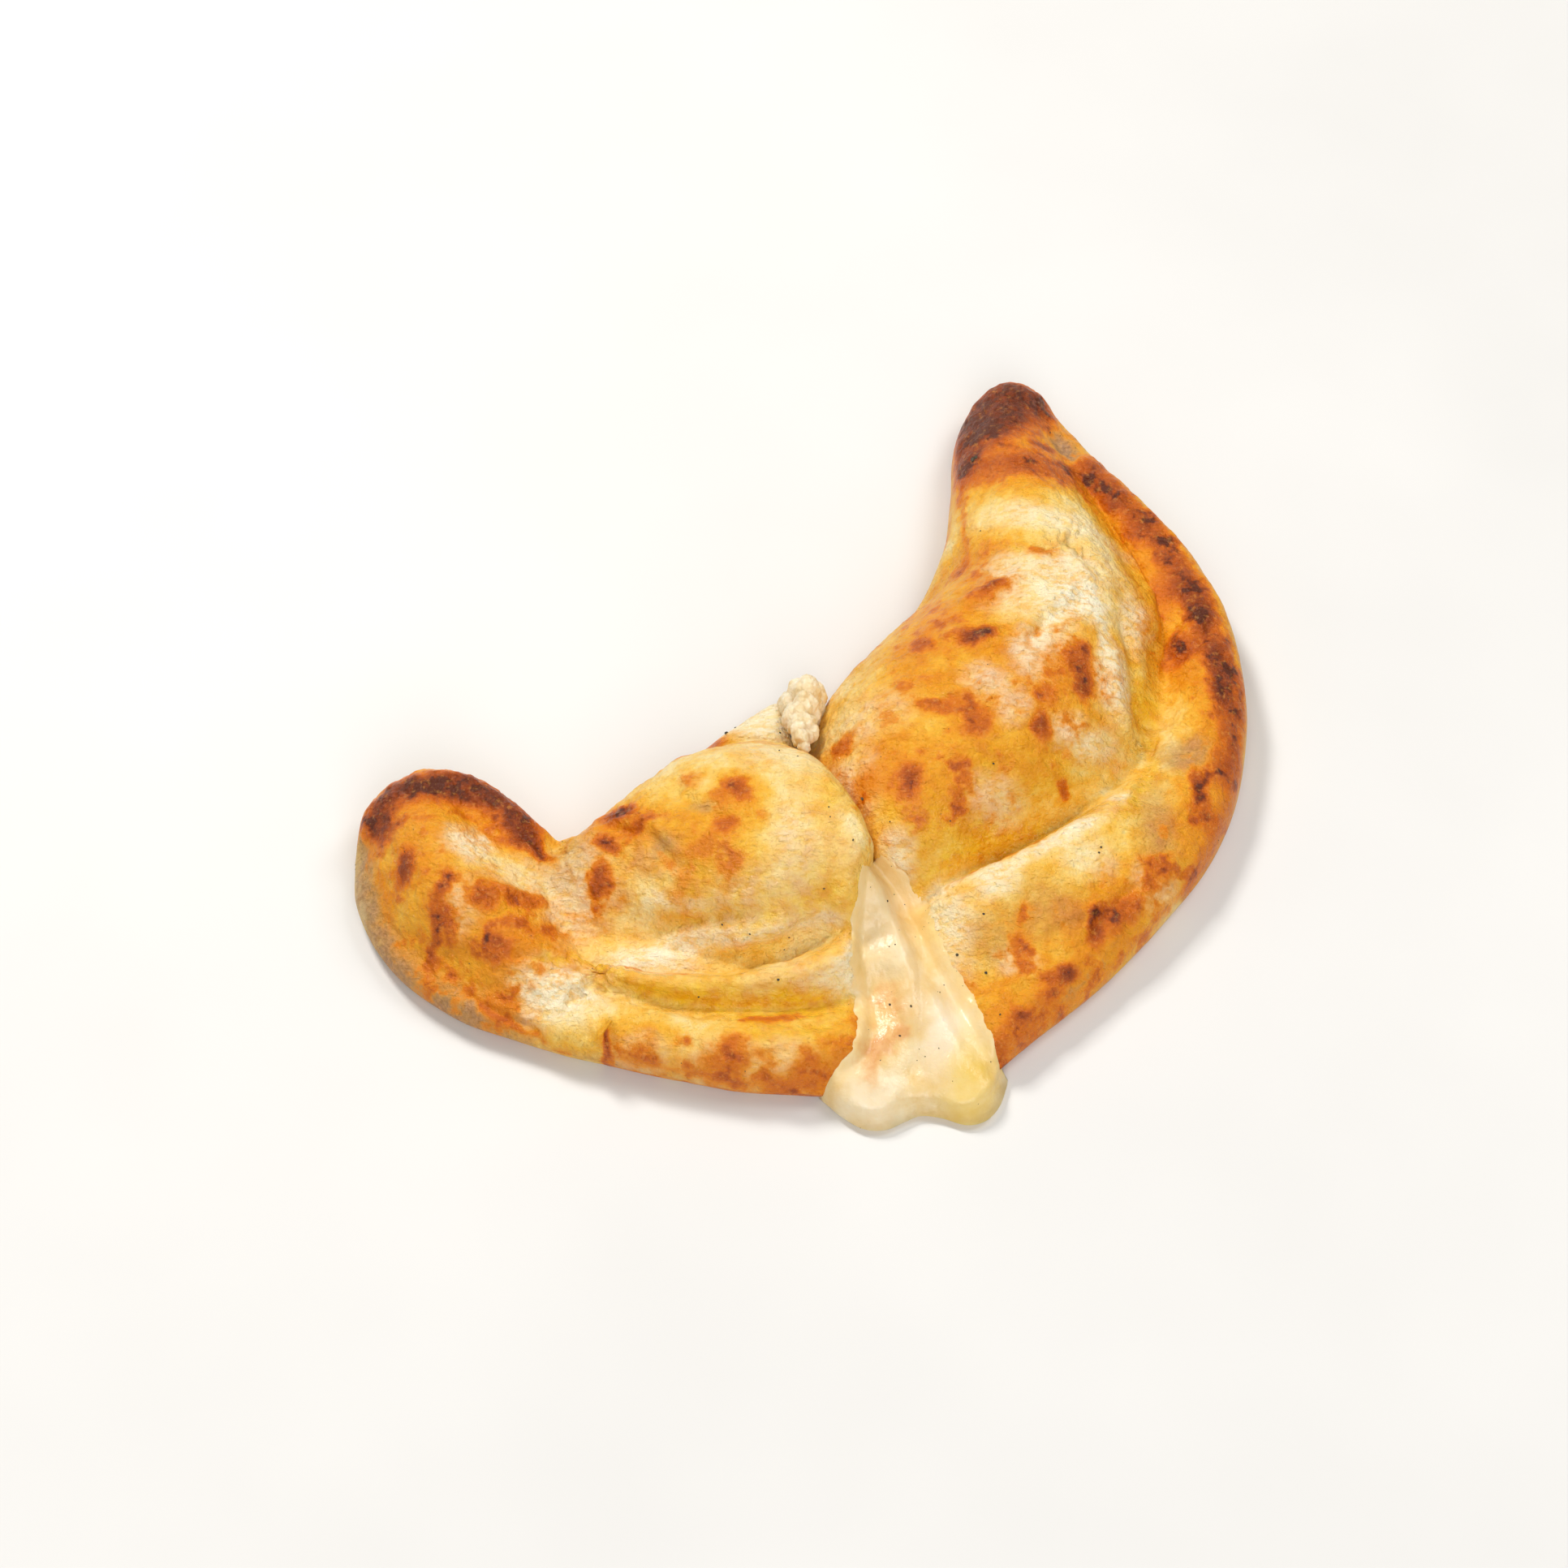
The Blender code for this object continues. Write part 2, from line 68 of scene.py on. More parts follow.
# Stations from each half's tip to the cut: four points across the dough, the folded edge first
RIGHT_STATIONS = [
    ((53.0, 108.0), (53.0, 108.0), (53.0, 108.0), (53.0, 108.0)),
    ((44.5, 102.5), (56.0, 101.5), (58.5, 102.5), (61.5, 103.5)),
    ((39.3, 91.0), (59.5, 91.0), (63.0, 92.0), (67.5, 93.0)),
    ((38.0, 76.0), (65.0, 77.0), (71.0, 77.0), (78.0, 77.0)),
    ((36.0, 60.0), (77.0, 58.0), (84.0, 57.5), (92.0, 57.0)),
    ((29.0, 43.5), (85.0, 36.0), (92.5, 34.5), (101.0, 33.0)),
    ((20.0, 31.5), (83.0, 11.5), (88.5, 9.5), (101.5, 6.0)),
    ((14.5, 25.8), (73.5, -10.0), (77.0, -14.0), (93.0, -22.0)),
    ((11.8, 23.2), (53.5, -24.8), (56.0, -29.5), (73.0, -48.5)),
    ((11.0, 22.0), (26.8, -39.0), (29.2, -45.5), (45.0, -75.5)),
]
LEFT_STATIONS = [
    ((-92.5, -24.0), (-92.5, -24.0), (-92.5, -24.0), (-92.5, -24.0)),
    ((-91.0, -14.0), (-91.4, -27.0), (-91.5, -31.0), (-91.5, -34.5)),
    ((-85.0, -8.0), (-86.0, -30.0), (-86.6, -38.0), (-87.0, -45.0)),
    ((-74.5, -5.5), (-77.0, -36.0), (-78.5, -47.0), (-79.5, -55.0)),
    ((-63.5, -8.5), (-65.5, -42.0), (-67.0, -54.0), (-68.0, -63.0)),
    ((-54.0, -17.0), (-54.5, -47.0), (-55.0, -58.0), (-55.5, -68.0)),
    ((-45.5, -21.5), (-45.0, -53.0), (-44.8, -58.5), (-44.5, -71.5)),
    ((-39.0, -15.5), (-36.0, -55.5), (-35.5, -59.5), (-33.5, -74.5)),
    ((-28.5, -5.0), (-22.0, -57.0), (-22.0, -63.0), (-22.5, -77.5)),
    ((-15.0, 8.5), (-3.0, -54.0), (-4.0, -65.0), (-9.0, -80.3)),
    ((-1.5, 19.5), (17.0, -43.0), (18.0, -62.0), (8.0, -81.0)),
]

# The cut, from the folded side to the crimped side
SHARED_CUT = [(4.0, -2.0), (8.2, -8.2), (12.3, -15.0), (16.3, -22.5), (19.2, -30.5)]
SHARED_GAP = 0.35
CUT_ACROSS = (0.87, 0.49)
LEFT_MOUTH = [(-1.5, 19.5), (1.2, 9.0), (4.0, -2.0)]
RIGHT_MOUTH = [(11.0, 22.0), (6.5, 8.4), (4.9, -2.3)]
LEFT_LIP = [(19.2, -30.5), (17.0, -41.0), (16.4, -53.0), (18.2, -63.0), (17.0, -74.0), (8.0, -81.0)]
RIGHT_LIP = [(20.1, -30.9), (26.5, -38.5), (31.2, -52.0), (37.0, -62.5), (41.5, -71.5), (45.0, -75.5)]
CHEESE_LOBES = [
    (8.6, -81.6), (12.0, -85.0), (16.5, -88.0), (21.0, -88.4), (25.0, -86.6), (28.5, -85.2),
    (33.0, -85.8), (38.0, -87.4), (42.0, -86.4), (45.0, -83.0), (46.6, -78.5), (47.0, -76.6),
]

# Rolls, puffed ridges of dough: x, y, width to the left, width to the right, height
RIGHT_ROLLS = {
    "dome": [
        (52.5, 99, 12, 12, 15), (52, 84, 15, 16, 19), (55, 62, 21, 22, 24), (56, 38, 30, 27, 28),
        (47, 16, 37, 33, 30), (34, -2, 31, 33, 29), (25, -14, 26, 27, 26),
    ],
    "rim": [
        (62, 95, 6, 6, 9), (70, 80, 8, 8, 11), (84, 62, 11, 9, 13), (92, 40, 12, 10, 14),
        (92.5, 16, 13, 10, 14.5), (88, -8, 12, 10, 14), (80, -26, 11, 9, 13), (66, -42, 10, 9, 12),
        (50, -58, 9, 8, 11), (44, -66, 8, 8, 10),
    ],
    "flap": [
        (83, 4, 8, 5, 11), (77, -9, 20, 7, 14.5), (66, -21.5, 25, 8, 17), (52, -31, 26, 7.5, 18),
        (38, -38.5, 25, 7, 17), (31, -43.5, 22, 6, 14),
    ],
}
LEFT_ROLLS = {
    "tip": [
        (-78, -15, 14, 14, 19), (-75, -27, 17, 16, 22), (-68, -40, 18, 15, 21.5),
        (-58, -50, 17, 12, 17.5), (-48, -57, 12, 9, 13),
    ],
    "shoulder": [(-62, -18, 12, 12, 17), (-56, -30, 11, 11, 15), (-52, -42, 10, 10, 13.5)],
    "dome": [
        (-37, -27, 15, 20, 20), (-25, -25, 23, 26, 26), (-10, -23, 28, 31, 30.5), (4, -25, 27, 30, 30.5),
        (14, -28, 20, 24, 28),
    ],
    "fold": [
        (-39, -56, 4, 3.5, 12), (-25, -59, 5, 4.5, 13.5), (-8, -60, 7, 5, 15), (6, -57, 9, 6, 16),
        (17, -50, 9, 8, 16),
    ],
    "rim": [
        (-46, -64, 8, 8, 10), (-30, -69, 9, 8, 11), (-14, -72, 10, 8, 12.5), (2, -72.5, 10, 9, 12.5),
        (12, -70, 9, 9, 11),
    ],
    "pleat": [(-36, -69, 2.6, 2.6, 12.5), (-39.5, -73.5, 2.4, 2.4, 10.5)],
}
# One more roll than the plain solid has. It fills the dip between the left tip and its shoulder.
LEFT_TIP_FILL = [
    (-86, -18, 9, 9, 15.5), (-78, -12.5, 9, 11, 19.5), (-70, -12, 9, 11, 20), (-63, -14.5, 9, 11, 18),
    (-56, -20, 9, 10, 15.5),
]
ROLL_BLEND = 5.0
ROLL_POWER = 0.62

# Each half's shape where it was cut: share of height lost in the mouth, where they touch, and at the lip
CUT_STRETCHES = (0.0, 0.15, 0.25, 0.40, 0.60, 1.0)
LEFT_CUT_DROP = (0.30, 0.16, 0.38)
RIGHT_CUT_DROP = (0.35, 0.30, 0.44)
LEFT_CUT_ROUND = 4.5
RIGHT_CUT_ROUND = 11.0

# The melted cheese: x, y and height down its middle, and the streams that swell on it
CHEESE_HEIGHTS = [
    (20, -31, 15.0), (22, -42, 12.5), (24, -54, 10.0), (27, -65, 8.0), (29, -75, 6.0), (30, -84, 4.6),
]
CHEESE_STREAMS = {
    "left": [
        (20, -34, 4, 4, 1), (21, -46, 6, 6, 3.2), (21, -58, 7, 7, 3), (20, -70, 8, 8, 2.6),
        (16, -84, 8, 8, 1.6),
    ],
    "right": [
        (24, -44, 4, 4, 0.5), (27, -54, 6, 6, 2), (32, -64, 8, 8, 3.4), (37, -75, 8, 8, 2.6),
        (40, -84, 8, 8, 1.6),
    ],
}
CHEESE_EDGE_LOW = 1.2
CHEESE_ROUND = 4.5
CHEESE_FILM = 0.9  # thickness of the cheese where it runs over the dough
CHEESE_CLIMB = {"left": 9.0, "right": 6.0}  # width over which it rises to the dough's edge
CHEESE_DRAPE = {  # how far it reaches over the dough: share down the lip, reach
    "left": [(0.0, 1.6), (0.25, 3.2), (0.6, 5.0), (0.8, 4.4), (1.0, 1.0)],
    "right": [(0.0, 2.6), (0.15, 4.6), (0.4, 5.0), (0.8, 4.4), (1.0, 1.0)],
}

# Lumps of ricotta in the open end of the cut: x, y, z and radius
CURDS = [
    (5.2, 13.6, 6.4, 5.6), (5.0, 15.6, 12.0, 4.4), (3.4, 17.2, 9.4, 4.0), (4.6, 11.0, 13.0, 3.9),
    (3.6, 7.6, 14.2, 3.1), (5.0, 4.6, 15.4, 2.8), (3.9, 2.0, 17.0, 2.1), (7.0, 17.8, 8.0, 3.4),
]
CRUMBS = [  # smaller ones that close the mouth of the cut
    (4.4, 0.0, 17.6, 1.8), (4.6, -1.6, 18.6, 1.3), (5.8, 6.4, 13.8, 2.0), (6.4, 9.6, 12.2, 2.2),
    (6.6, 13.2, 12.6, 1.8), (5.2, 9.0, 15.4, 1.4), (4.2, 11.8, 16.0, 1.5), (6.2, 17.8, 12.6, 1.6),
    (1.2, 14.5, 8.4, 3.4), (0.8, 17.0, 6.0, 3.2), (2.2, 10.5, 11.6, 2.8), (1.8, 8.0, 13.6, 2.8),
    (2.4, 5.0, 15.4, 2.4), (3.0, 2.2, 17.0, 1.9), (3.5, -0.4, 18.4, 1.4), (4.2, -2.0, 17.2, 1.6),
    (3.2, 0.5, 16.2, 1.8), (4.8, -3.2, 18.2, 1.2), (4.0, 2.6, 15.0, 2.0),
    (6.2, 3.2, 14.8, 2.2), (5.4, 1.0, 16.6, 1.7), (3.6, 4.2, 16.8, 1.5), (2.6, 9.4, 14.6, 1.8),
]

CURD_NARROWING = 0.74

# Mesh fineness
DOUGH_ROWS = 400
RIGHT_COLUMNS = (120, 18, 56)
LEFT_COLUMNS = (116, 34, 40)
CHEESE_ROWS = 200
CHEESE_COLUMNS = (110,)
SMOOTHING = 2
CHEESE_SMOOTHING = 14
STRIP_WIDTH = 8.0  # the flat underside is merged in strips of this width, in millimetres

# Marks. A spot is its pixel u, v, half its width and half its depth in mm, its strength, and for some the
# angle that it is turned by. A stroke is its strength, half its width in mm, and the pixels it runs through.
LEFT_SPOTS = {
    "amber": [
        (612, 1140, 14, 12, 0.85), (525, 1075, 9, 16, 0.6), (545, 1180, 9, 9, 0.5), (610, 1010, 9, 6, 0.4),
        (770, 1030, 9, 8, 0.5), (880, 1000, 10, 11, 0.35), (890, 1080, 9, 12, 0.10),
        (830, 1085, 5, 9, 0.4),
        (735, 1085, 5, 8, 0.5), (950, 1120, 14, 9, 0.10), (1050, 1290, 6, 8, 0.5),
    ],
    "toast": [
        (471, 1015, 2.1, 3.5, 0.85), (493, 1064, 2.1, 3.0, 0.8), (540, 1090, 1.6, 2.0, 0.7),
        (536, 1133, 2.1, 3.0, 0.7), (527, 1180, 1.4, 3.0, 0.6), (520, 1020, 9.8, 10.9, 0.15),
        (505, 1060, 5.4, 8.7, 0.2), (545, 1150, 4.5, 6.5, 0.2), (625, 1011, 1.3, 1.5, 0.65),
        (655, 1037, 4.3, 2.0, 0.65, -25), (668, 1045, 1.4, 1.7, 0.75), (600, 1105, 2.5, 2.6, 0.75),
        (630, 1098, 5.4, 2.2, 0.55), (660, 1106, 2.5, 2.2, 0.5), (608, 1157, 2.1, 2.2, 0.7),
        (640, 1150, 6.2, 4.8, 0.35), (685, 1141, 3.6, 2.2, 0.4), (600, 1207, 5.4, 4.8, 0.25),
        (615, 1240, 3.6, 3.0, 0.4), (734, 1089, 2.0, 3.7, 0.8), (759, 998, 3.6, 2.2, 0.85),
        (784, 1012, 1.8, 1.3, 0.75), (740, 1031, 2.9, 1.3, 0.65), (765, 1020, 5.4, 3.5, 0.35),
        (872, 913, 2.7, 2.6, 0.65), (851, 952, 2.5, 2.2, 0.35), (911, 965, 2.5, 3.0, 0.75),
        (883, 973, 1.8, 2.2, 0.45), (892, 1008, 2.9, 2.0, 0.65), (858, 1040, 3.2, 2.6, 0.45),
        (897, 1056, 2.5, 2.6, 0.5), (889, 1091, 1.4, 2.6, 0.3), (832, 1092, 2.2, 4.0, 0.3),
        (905, 1138, 2.0, 2.2, 0.15), (941, 998, 1.8, 2.2, 0.2), (949, 935, 1.8, 1.7, 0.2),
        (1000, 1315, 3.6, 2.2, 0.5), (890, 1310, 4.5, 2.0, 0.5), (900, 1280, 2.9, 1.7, 0.5),
        (1045, 1300, 3.6, 3.5, 0.45), (1065, 1260, 2.1, 3.5, 0.4), (835, 1288, 2.0, 1.6, 0.35),
        (960, 1335, 4.0, 1.8, 0.35), (790, 1290, 3.0, 1.8, 0.3), (940, 1296, 2.4, 1.6, 0.4),
    ],
    "oil": [
        (738, 1198, 1.8, 2.2, 1.0), (949, 1067, 7, 8, 0.45), (1004, 973, 6, 8, 0.40),
        (834, 995, 5, 5, 0.2),
        (1000, 1090, 5, 8, 0.35), (915, 1120, 9, 4, 0.45), (1016, 1036, 4, 8, 0.35),
        (870, 1070, 8, 7, 0.30),
    ],
    # pale dough, and painted highlights
    "pale": [
        (583, 1034, 4.3, 3.9, 0.75), (685, 1215, 8.0, 5.2, 0.85), (800, 1180, 8.9, 3.0, 0.75),
        (985, 1025, 4.5, 10.9, 0.45), (1010, 1205, 8.0, 3.0, 0.6), (930, 872, 11, 5, 0.8),
        (955, 895, 7, 4, 0.8),
        (700, 1100, 6, 9, 0.5), (790, 1110, 7, 8, 0.20), (640, 1075, 6, 4, 0.4),
        (960, 920, 8, 6, 0.35), (560, 1105, 4, 5, 0.35),
        (1040, 1020, 3, 6, 0.3), (1062, 1190, 4, 4, 0.8), (988, 1048, 3.2, 7, 0.6), (920, 1105, 8, 4, 0.5),
        (885, 1318, 7, 4, 0.35), (975, 1318, 6, 4, 0.3), (780, 1310, 5, 3, 0.4),
    ],
    # unbrowned dough, darkened with painted shade in grooves
    "raw": [(811, 1040, 2.1, 2.6, 0.5), (866, 985, 3.6, 1.5, 0.5), (690, 1060, 5, 5, 0.3)],
}
LEFT_STROKES = {
    "amber": [
        (0.50, 5.0, [(760, 1285), (830, 1308), (900, 1320), (1000, 1325), (1060, 1310)]),
        (0.4, 4.0, [(526, 1177), (572, 1218), (605, 1253), (638, 1275), (700, 1298)]),
        (0.7, 3.6, [(447, 1000), (480, 968), (526, 958), (584, 965), (640, 990)]),
    ],
    "toast": [
        (0.90, 3.4, [(454, 1008), (466, 984), (488, 969), (528, 960), (582, 965), (616, 976), (638, 998),
                     (658, 1020)]),
        (0.40, 0.9, [(526, 1177), (572, 1218), (605, 1253), (638, 1275), (700, 1298)]),
        (0.80, 1.1, [(753, 1277), (740, 1308)]), (0.45, 0.55, [(1060, 990), (1075, 1045)]),
        (0.60, 1.1, [(915, 1252), (985, 1246)]),
        (0.35, 2.5, [(760, 1300), (830, 1325), (900, 1338), (1000, 1345), (1060, 1335)]),
        (0.30, 6.0, [(455, 1010), (480, 980), (530, 968), (590, 975), (640, 1000)]),
        (0.20, 2.4, [(452, 1030), (466, 1100), (488, 1165), (530, 1215)]),
    ],
    "oil": [
        (0.8, 1.1, [(671, 1177), (726, 1182), (736, 1196)]),
        (1.0, 3.6, [(748, 1206), (790, 1220), (850, 1232), (900, 1238), (960, 1240), (1015, 1238)]),
        (0.9, 2.0, [(930, 1262), (975, 1264), (1015, 1256)]),
        (0.6, 2.9, [(1063, 1075), (1045, 1135), (1010, 1175), (960, 1195), (870, 1215)]),
        (0.5, 2.4, [(1035, 1020), (1040, 1060), (1010, 1105), (960, 1135)]),
    ],
    # pale dough streaks, and painted highlights
    "pale": [
        (0.85, 2.2, [(746, 1194), (800, 1176), (868, 1160), (950, 1149), (1020, 1136)]),
        (0.45, 1.5, [(800, 1110), (860, 1120), (930, 1100), (975, 1070)]),
    ],
    # unbrowned walls of the dough, darkened with painted shade
    "raw": [
        (0.85, 4.0, [(440, 1030), (445, 1090), (462, 1160), (490, 1205), (540, 1240), (610, 1268)]),
        (0.45, 1.0, [(640, 1284), (720, 1308), (800, 1335), (900, 1354), (1000, 1358)]),
    ],
}
RIGHT_SPOTS = {
    "amber": [
        (1150, 880, 20, 22, 0.55), (1110, 950, 14, 12, 0.45), (1160, 762, 12, 14, 0.9),
        (1310, 820, 13, 14, 0.7),
        (1250, 900, 14, 10, 0.6), (1200, 690, 8, 8, 0.5), (1260, 565, 12, 7, 0.8), (1430, 720, 9, 13, 0.7),
        (1450, 800, 9, 12, 0.7), (1490, 990, 6, 13, 0.6), (1300, 1190, 9, 9, 0.6), (1260, 1150, 9, 9, 0.5),
        (1380, 1130, 9, 9, 0.6), (1190, 985, 12, 7, 0.6), (1220, 1290, 5, 8, 0.6), (1200, 1200, 6, 9, 0.4),
    ],
    "toast": [
        (1235, 500, 8.9, 7.5, 0.95), (1226, 525, 5.4, 4.3, 0.80), (1291, 545, 2.5, 1.7, 0.85),
        (1265, 565, 10.7, 4.0, 0.50), (1452, 797, 4.6, 3.9, 0.75), (1437, 724, 4.6, 5.2, 0.55),
        (1478, 747, 2.9, 4.3, 0.75), (1505, 841, 2.5, 6.5, 0.80), (1480, 956, 2.1, 2.6, 0.75),
        (1485, 991, 2.9, 4.3, 0.55), (1426, 1060, 2.9, 2.2, 0.5), (1351, 1139, 1.6, 2.6, 0.75),
        (1370, 1120, 3.6, 2.6, 0.50), (1316, 1194, 2.3, 2.2, 0.85), (1289, 1201, 1.8, 1.7, 0.70),
        (1258, 1163, 2.1, 3.9, 0.55), (1261, 1122, 0.9, 1.7, 0.50), (1182, 1218, 1.6, 3.0, 0.45),
        (1227, 1301, 2.1, 3.0, 0.50), (1255, 1260, 4.5, 3.0, 0.40), (1217, 720, 4.3, 2.0, 0.85, 25),
        (1200, 780, 3.2, 2.6, 0.90), (1132, 789, 2.1, 2.6, 0.70), (1197, 703, 1.1, 1.3, 0.60),
        (1170, 703, 1.8, 2.2, 0.40), (1211, 677, 3.9, 3.5, 0.35), (1285, 671, 3.6, 1.7, 0.50),
        (1335, 812, 2.5, 4.3, 0.65), (1341, 844, 1.6, 2.6, 0.75), (1288, 850, 2.1, 2.2, 0.60),
        (1315, 825, 7.1, 8.7, 0.35), (1178, 862, 6.8, 2.2, 0.50), (1208, 885, 2.7, 3.3, 0.65),
        (1288, 890, 2.3, 2.8, 0.80), (1149, 867, 2.9, 2.2, 0.35), (1034, 920, 2.1, 2.2, 0.60),
        (1123, 955, 2.1, 3.5, 0.70), (1110, 950, 6.8, 5.7, 0.35), (1184, 936, 2.1, 2.2, 0.45),
        (1184, 980, 1.8, 2.2, 0.60), (1313, 972, 1.6, 1.7, 0.65), (1140, 1005, 2.1, 3.5, 0.30),
        (1080, 870, 2.2, 2.2, 0.25), (1150, 762, 6, 6, 0.32), (1120, 840, 3, 2.4, 0.3),
        (1240, 940, 2.4, 2.0, 0.25), (1060, 965, 2.2, 3.0, 0.25),
        (1402, 655, 5, 4, 0.35), (1366, 618, 4, 3, 0.35), (1300, 1230, 3, 2, 0.4),
        (1395, 1110, 3, 2.4, 0.4),
    ],
    "oil": [
        (1320, 665, 5.4, 3.0, 0.5), (1247, 671, 1.8, 1.5, 0.6), (1422, 868, 2.9, 4.8, 0.9),
        (1200, 1030, 10.7, 4.3, 0.4), (1130, 1000, 5.4, 6.5, 0.35), (1240, 940, 12, 8, 0.2),
    ],
    # pale dough, and painted highlights
    "pale": [
        (1300, 632, 12.5, 3.5, 0.6, -8), (1328, 731, 6.8, 4.8, 0.95), (1276, 797, 4.3, 5.2, 0.7),
        (1376, 841, 3.2, 6.5, 0.8), (1400, 760, 2.5, 6.5, 0.5), (1240, 690, 5.4, 4.3, 0.4),
        (1230, 1080, 4.6, 2.6, 0.7, 35), (1316, 1015, 7.1, 2.2, 0.5, 30), (1250, 1180, 3.6, 2.2, 0.5),
        (1340, 905, 7.1, 3.0, 0.5), (1215, 830, 4, 3.2, 0.5), (1060, 880, 8, 5, 0.35),
        (1350, 690, 6, 5, 0.45),
        (1300, 770, 4, 6, 0.5), (1340, 1050, 5, 4, 0.4), (1170, 1180, 3, 7, 0.4),
        (1108, 1062, 3, 4, 0.8), (1040, 980, 5, 8, 0.4), (1230, 985, 5, 4, 0.4), (1245, 860, 4, 4, 0.4),
        (1152, 1125, 4, 5, 0.5), (1175, 1135, 4, 4, 0.4), (1430, 1092, 4, 4, 0.35),
        (1260, 720, 6, 7, 0.5), (1310, 690, 6, 5, 0.6),
    ],
    # unbrowned dough, darkened with painted shade
    "raw": [
        (1458, 925, 5.4, 3.9, 0.7), (1425, 1010, 3.9, 9.8, 0.5), (1290, 1110, 7, 5, 0.35),
        (1220, 1150, 4, 5, 0.35),
    ],
}
RIGHT_STROKES = {
    "amber": [
        (0.85, 6.5, [(1320, 575), (1376, 622), (1431, 680), (1478, 757), (1505, 850), (1500, 960),
        (1450, 1055),
                     (1351, 1155), (1245, 1280)]),
    ],
    "toast": [
        (0.50, 2.6, [(1320, 575), (1340, 586), (1376, 612), (1431, 671), (1478, 747), (1505, 800)]),
        (0.60, 3.2, [(1505, 800), (1515, 850), (1518, 900), (1512, 950)]),
        (0.22, 3.0, [(1512, 950), (1490, 1010), (1450, 1065), (1399, 1120)]),
        (0.32, 2.4, [(1399, 1120), (1351, 1165), (1300, 1225), (1245, 1290)]),
        (0.40, 1.1, [(1178, 600), (1182, 640), (1184, 680), (1175, 705)]),
        (0.48, 3.2, [(1345, 578), (1435, 672), (1495, 765), (1528, 865), (1518, 1000), (1476, 1085)]),
        (0.35, 2.0, [(1476, 1085), (1416, 1152), (1318, 1240), (1245, 1312)]),
        (0.90, 5.0, [(1185, 570), (1192, 520), (1215, 485), (1250, 472), (1285, 495)]),
        (0.45, 6.0, [(1200, 570), (1260, 560), (1330, 590)]),
    ],
    "oil": [
        (0.8, 1.6, [(1425, 880), (1418, 940), (1400, 985)]),
        (0.85, 2.2, [(1390, 990), (1261, 1030), (1175, 1062), (1134, 1101)]),
    ],
    # pale dough streaks, and painted highlights
    "pale": [
        (0.7, 1.6, [(1345, 720), (1362, 760), (1370, 800)]), (0.6, 1.4, [(1310, 745), (1284, 780)]),
        (0.65, 2.0, [(1150, 1098), (1230, 1062), (1320, 1015), (1380, 975)]),
    ],
    # unbrowned edges of the dough, darkened with painted shade
    "raw": [
        (1.0, 1.8, [(1292, 510), (1306, 538), (1326, 562)]), (0.8, 0.8, [(1364, 1190), (1310, 1245),
        (1268, 1290)]),
    ],
}
CHEESE_SPOTS = {
    "toast": [
        (1095, 1250, 4.0, 6.0, 0.32), (1078, 1222, 2.4, 3.0, 0.30), (1072, 1300, 2.6, 6.0, 0.40),
        (1110, 1268, 1.6, 1.6, 0.25), (1085, 1282, 2.4, 3.0, 0.25),
    ],
    "oil": [
        (1199, 1335, 5.0, 8.0, 0.75), (1089, 1197, 4, 5, 0.2), (1150, 1120, 4, 5, 0.35),
        (1195, 1290, 3, 6, 0.5),
    ],
    # pale cheese, and painted highlights
    "pale": [(1171, 1266, 4.5, 7.0, 0.9), (1080, 1342, 5, 5, 0.6), (1100, 1165, 4, 6, 0.5)],
    # darker tan patches on the cheese
    "raw": [(1085, 1130, 3, 8, 0.3), (1128, 1224, 3.0, 6.0, 0.75), (1150, 1310, 3.0, 5.0, 0.4)],
}

# Soft ridges and grooves in the dough: height, width, and the pixels that each runs through
LEFT_RIDGES = [
    (-1.3, 4.0, [(826, 968), (850, 984), (896, 1007)]), (0.9, 3.0, [(760, 1008), (790, 1006),
    (812, 1022)]),
    (-1.0, 2.2, [(756, 1018), (785, 1022), (800, 1032)]), (-0.8, 2.6, [(800, 1036), (818, 1052),
    (826, 1066)]),
    (0.8, 2.4, [(786, 1024), (796, 1042), (792, 1064)]), (-0.9, 2.8, [(690, 1130), (715, 1160),
    (737, 1190)]),
    (-0.8, 2.6, [(737, 1190), (790, 1160), (850, 1140), (930, 1130)]),
    (0.8, 3.0, [(745, 1185), (800, 1163), (862, 1150)]), (-0.8, 2.2, [(640, 1172), (690, 1180),
    (737, 1192)]),
    (0.8, 3.2, [(665, 1215), (705, 1205), (737, 1196)]), (-0.8, 2.2, [(690, 1250), (715, 1222),
    (738, 1196)]),
    (0.8, 2.6, [(745, 1206), (800, 1216), (860, 1224)]), (-0.7, 2.4, [(742, 1204), (790, 1228),
    (860, 1246)]),
    (-1.2, 2.0, [(762, 1262), (752, 1280), (742, 1298)]), (-0.7, 1.6, [(636, 1022), (658, 1030),
    (670, 1044)]),
    (-0.8, 2.0, [(560, 1215), (610, 1252), (660, 1278)]), (0.8, 3.0, [(590, 1105), (630, 1094),
    (668, 1104)]),
    (-0.8, 2.4, [(1000, 1258), (1030, 1254), (1062, 1238)]), (0.6, 2.0, [(905, 1160), (960, 1150),
    (1005, 1125)]),
    (-0.6, 1.8, [(900, 1172), (960, 1164), (1012, 1138)]),
    (1.6, 5.0, [(900, 906), (940, 905), (975, 910)]),
    (0.8, 4.0, [(780, 1184), (840, 1172), (900, 1158), (960, 1140)]),
]
